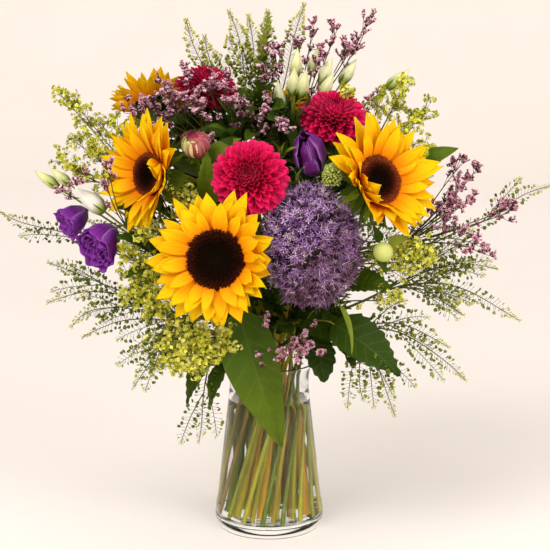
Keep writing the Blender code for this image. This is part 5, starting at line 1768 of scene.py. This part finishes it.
def glassware():
    outer = smooth_profile([(0.0, 0.0032), (0.030, 0.0024), (0.046, 0.0008), (FOOT_RADIUS, 0.0),
                            (0.0590, 0.0030), (HEEL_RADIUS, HEEL_HEIGHT), (0.0628, 0.034)], 6)
    rise = np.linspace(0.036, 0.160, 14)
    side = np.column_stack([np.interp(rise, [HEEL_HEIGHT, NECK_HEIGHT], [HEEL_RADIUS, NECK_RADIUS]), rise])
    lip = smooth_profile([(0.0474, 0.166), (NECK_RADIUS, NECK_HEIGHT), (0.0471, 0.184), (0.0487, 0.194),
                          (RIM_RADIUS, 0.1988), (0.0500, VASE_HEIGHT), (0.0483, 0.1992), (0.0460, 0.192),
                          (0.0440, 0.182), (NECK_RADIUS - WALL, NECK_HEIGHT)], 7)
    fall = np.linspace(0.160, 0.032, 14)
    inner = np.column_stack([inside_radius(fall), fall])
    well = smooth_profile([(0.0586, 0.026), (0.0560, 0.017), (0.0490, 0.0118), (0.030, FLOOR),
                           (0.0, FLOOR)], 6)
    vase = Cloud()
    lathe(vase, np.vstack([outer, side, lip, inner, well]), 128)
    show(vase, "vase_glass", "glass", ["glass"], "vase")

    # the water reaches 0.2 mm into the glass, so that no air shows between them
    water = Cloud()
    level, wet = WATER_LEVEL, 0.0002
    heights = np.linspace(0.026, level + 0.0010, 16)
    rim = inside_radius(level) + wet
    bottom = [(0.0, FLOOR - wet), (0.030, FLOOR - wet), (0.0492, 0.0116), (0.0562, 0.0168)]
    top = [(rim - 0.0012, level + 0.0002), (rim - 0.0035, level), (0.030, level), (0.0, level)]
    wetted = np.column_stack([inside_radius(heights) + wet, heights])
    lathe(water, np.vstack([bottom, wetted, top]), 128)
    show(water, "vase_water", "water", ["water"], "water")


# ---- the bunch ----
def arrange():
    for i, (name, _, centre, facing, outer, disc, cup) in enumerate(SUNFLOWERS):
        sunflower(name, centre, facing, outer, disc, cup, 11 + i)
    for i, (name, _, centre, facing, radius) in enumerate(DAHLIAS):
        dahlia(name, centre, facing, radius, 31 + i, 0.55 if name == "top" else 0.0)
    for i, (name, _, centre, facing, radius) in enumerate(DAHLIA_BUDS):
        dahlia_bud(name, centre, facing, radius, 41 + i)
    throatwort()
    for i, (name, _, fork, blooms, buds) in enumerate(LISIANTHUS):
        lisianthus(name, fork, blooms, buds, 51 + 20 * i)
    for grow, first_seed, plants in ((pennycress, 101, PENNYCRESS), (statice, 131, STATICE),
                                     (ladys_mantle, 151, LADYS_MANTLE)):
        for i, (name, _, fork, tips) in enumerate(plants):
            grow(name, fork, tips, first_seed + i)
    for add in (loose_froth, loose_statice, green_umbel, inner_foliage, small_leaved_sprigs, top_foliage,
                collar_leaves, glassware):
        add()


# ---- stage, light and camera ----
def floor_look():
    look = Look("pale_paper", 0.9, Specular_IOR_Level=0.1)
    look.colour(look.ramp(look.noise(3.0), (0.3, (0.850, 0.782, 0.726)), (0.7, (0.866, 0.796, 0.739))))
    return look.material


# a round floor that turns up into a wall all the way round, beyond where any view stands
FLOOR_REACH = 3.7
WALL_TURN = 1.5
WALL_TOP = 2.6
# the photograph's view: from the front, a little above the blooms
CAMERA_PLACE = (0.007, -1.90, 0.627)
CAMERA_DIP = 9.65    # degrees below the level
CAMERA_LENS = 108.06


def lamp(name, place, aim, size, power):
    """A square soft lamp that isn't seen itself."""
    data = bpy.data.lights.new(name, "AREA")
    data.shape, data.size, data.energy = "SQUARE", size, power
    made = bpy.data.objects.new(name, data)
    bpy.context.scene.collection.objects.link(made)
    made.location = place
    made.rotation_euler = (Vector(aim) - Vector(place)).to_track_quat("-Z", "Y").to_euler()
    made.visible_camera = False


def soft_light():
    """A pale room, a key and a fill lamp in front, and four lamps that light the wall."""
    world = bpy.context.scene.world or bpy.data.worlds.new("soft_room")
    bpy.context.scene.world = world
    world.use_nodes = True
    back = world.node_tree.nodes["Background"]
    back.inputs["Color"].default_value = (1.0, 0.985, 0.965, 1)
    back.inputs["Strength"].default_value = 0.76
    lamp("key", (-1.3, -2.0, 2.3), (0, 0, 0.3), 1.4, 59)
    lamp("fill", (1.7, -1.8, 1.3), (0, 0, 0.3), 1.6, 38)
    for side in range(4):
        x, y = math.sin(0.5 * math.pi * side), math.cos(0.5 * math.pi * side)
        lamp(f"wall_{side}", (2.6 * x, 2.6 * y, 3.2), (5.2 * x, 5.2 * y, 1.0), 2.6, 30 + 3 * x)


def stage():
    turns = np.linspace(0, 0.5 * math.pi, 15)
    profile = [(0.0, 0.0), (0.6, 0.0), (1.8, 0.0)]
    profile += [(FLOOR_REACH + WALL_TURN * math.sin(a), WALL_TURN * (1 - math.cos(a))) for a in turns]
    profile.append((FLOOR_REACH + WALL_TURN, WALL_TOP))
    cloud = Cloud()
    lathe(cloud, profile, 120)
    floor = bpy.data.objects.new("floor", cloud.mesh("floor"))
    bpy.context.scene.collection.objects.link(floor)
    floor.data.materials.append(floor_look())
    soft_light()

    lens = bpy.data.cameras.new("camera")
    lens.lens, lens.sensor_width = CAMERA_LENS, 36.0
    camera = bpy.data.objects.new("camera", lens)
    bpy.context.scene.collection.objects.link(camera)
    camera.location = CAMERA_PLACE
    camera.rotation_euler = (math.radians(90 - CAMERA_DIP), 0, 0)
    bpy.context.scene.camera = camera
    bpy.context.scene.view_settings.view_transform = "Standard"


arrange()
stage()
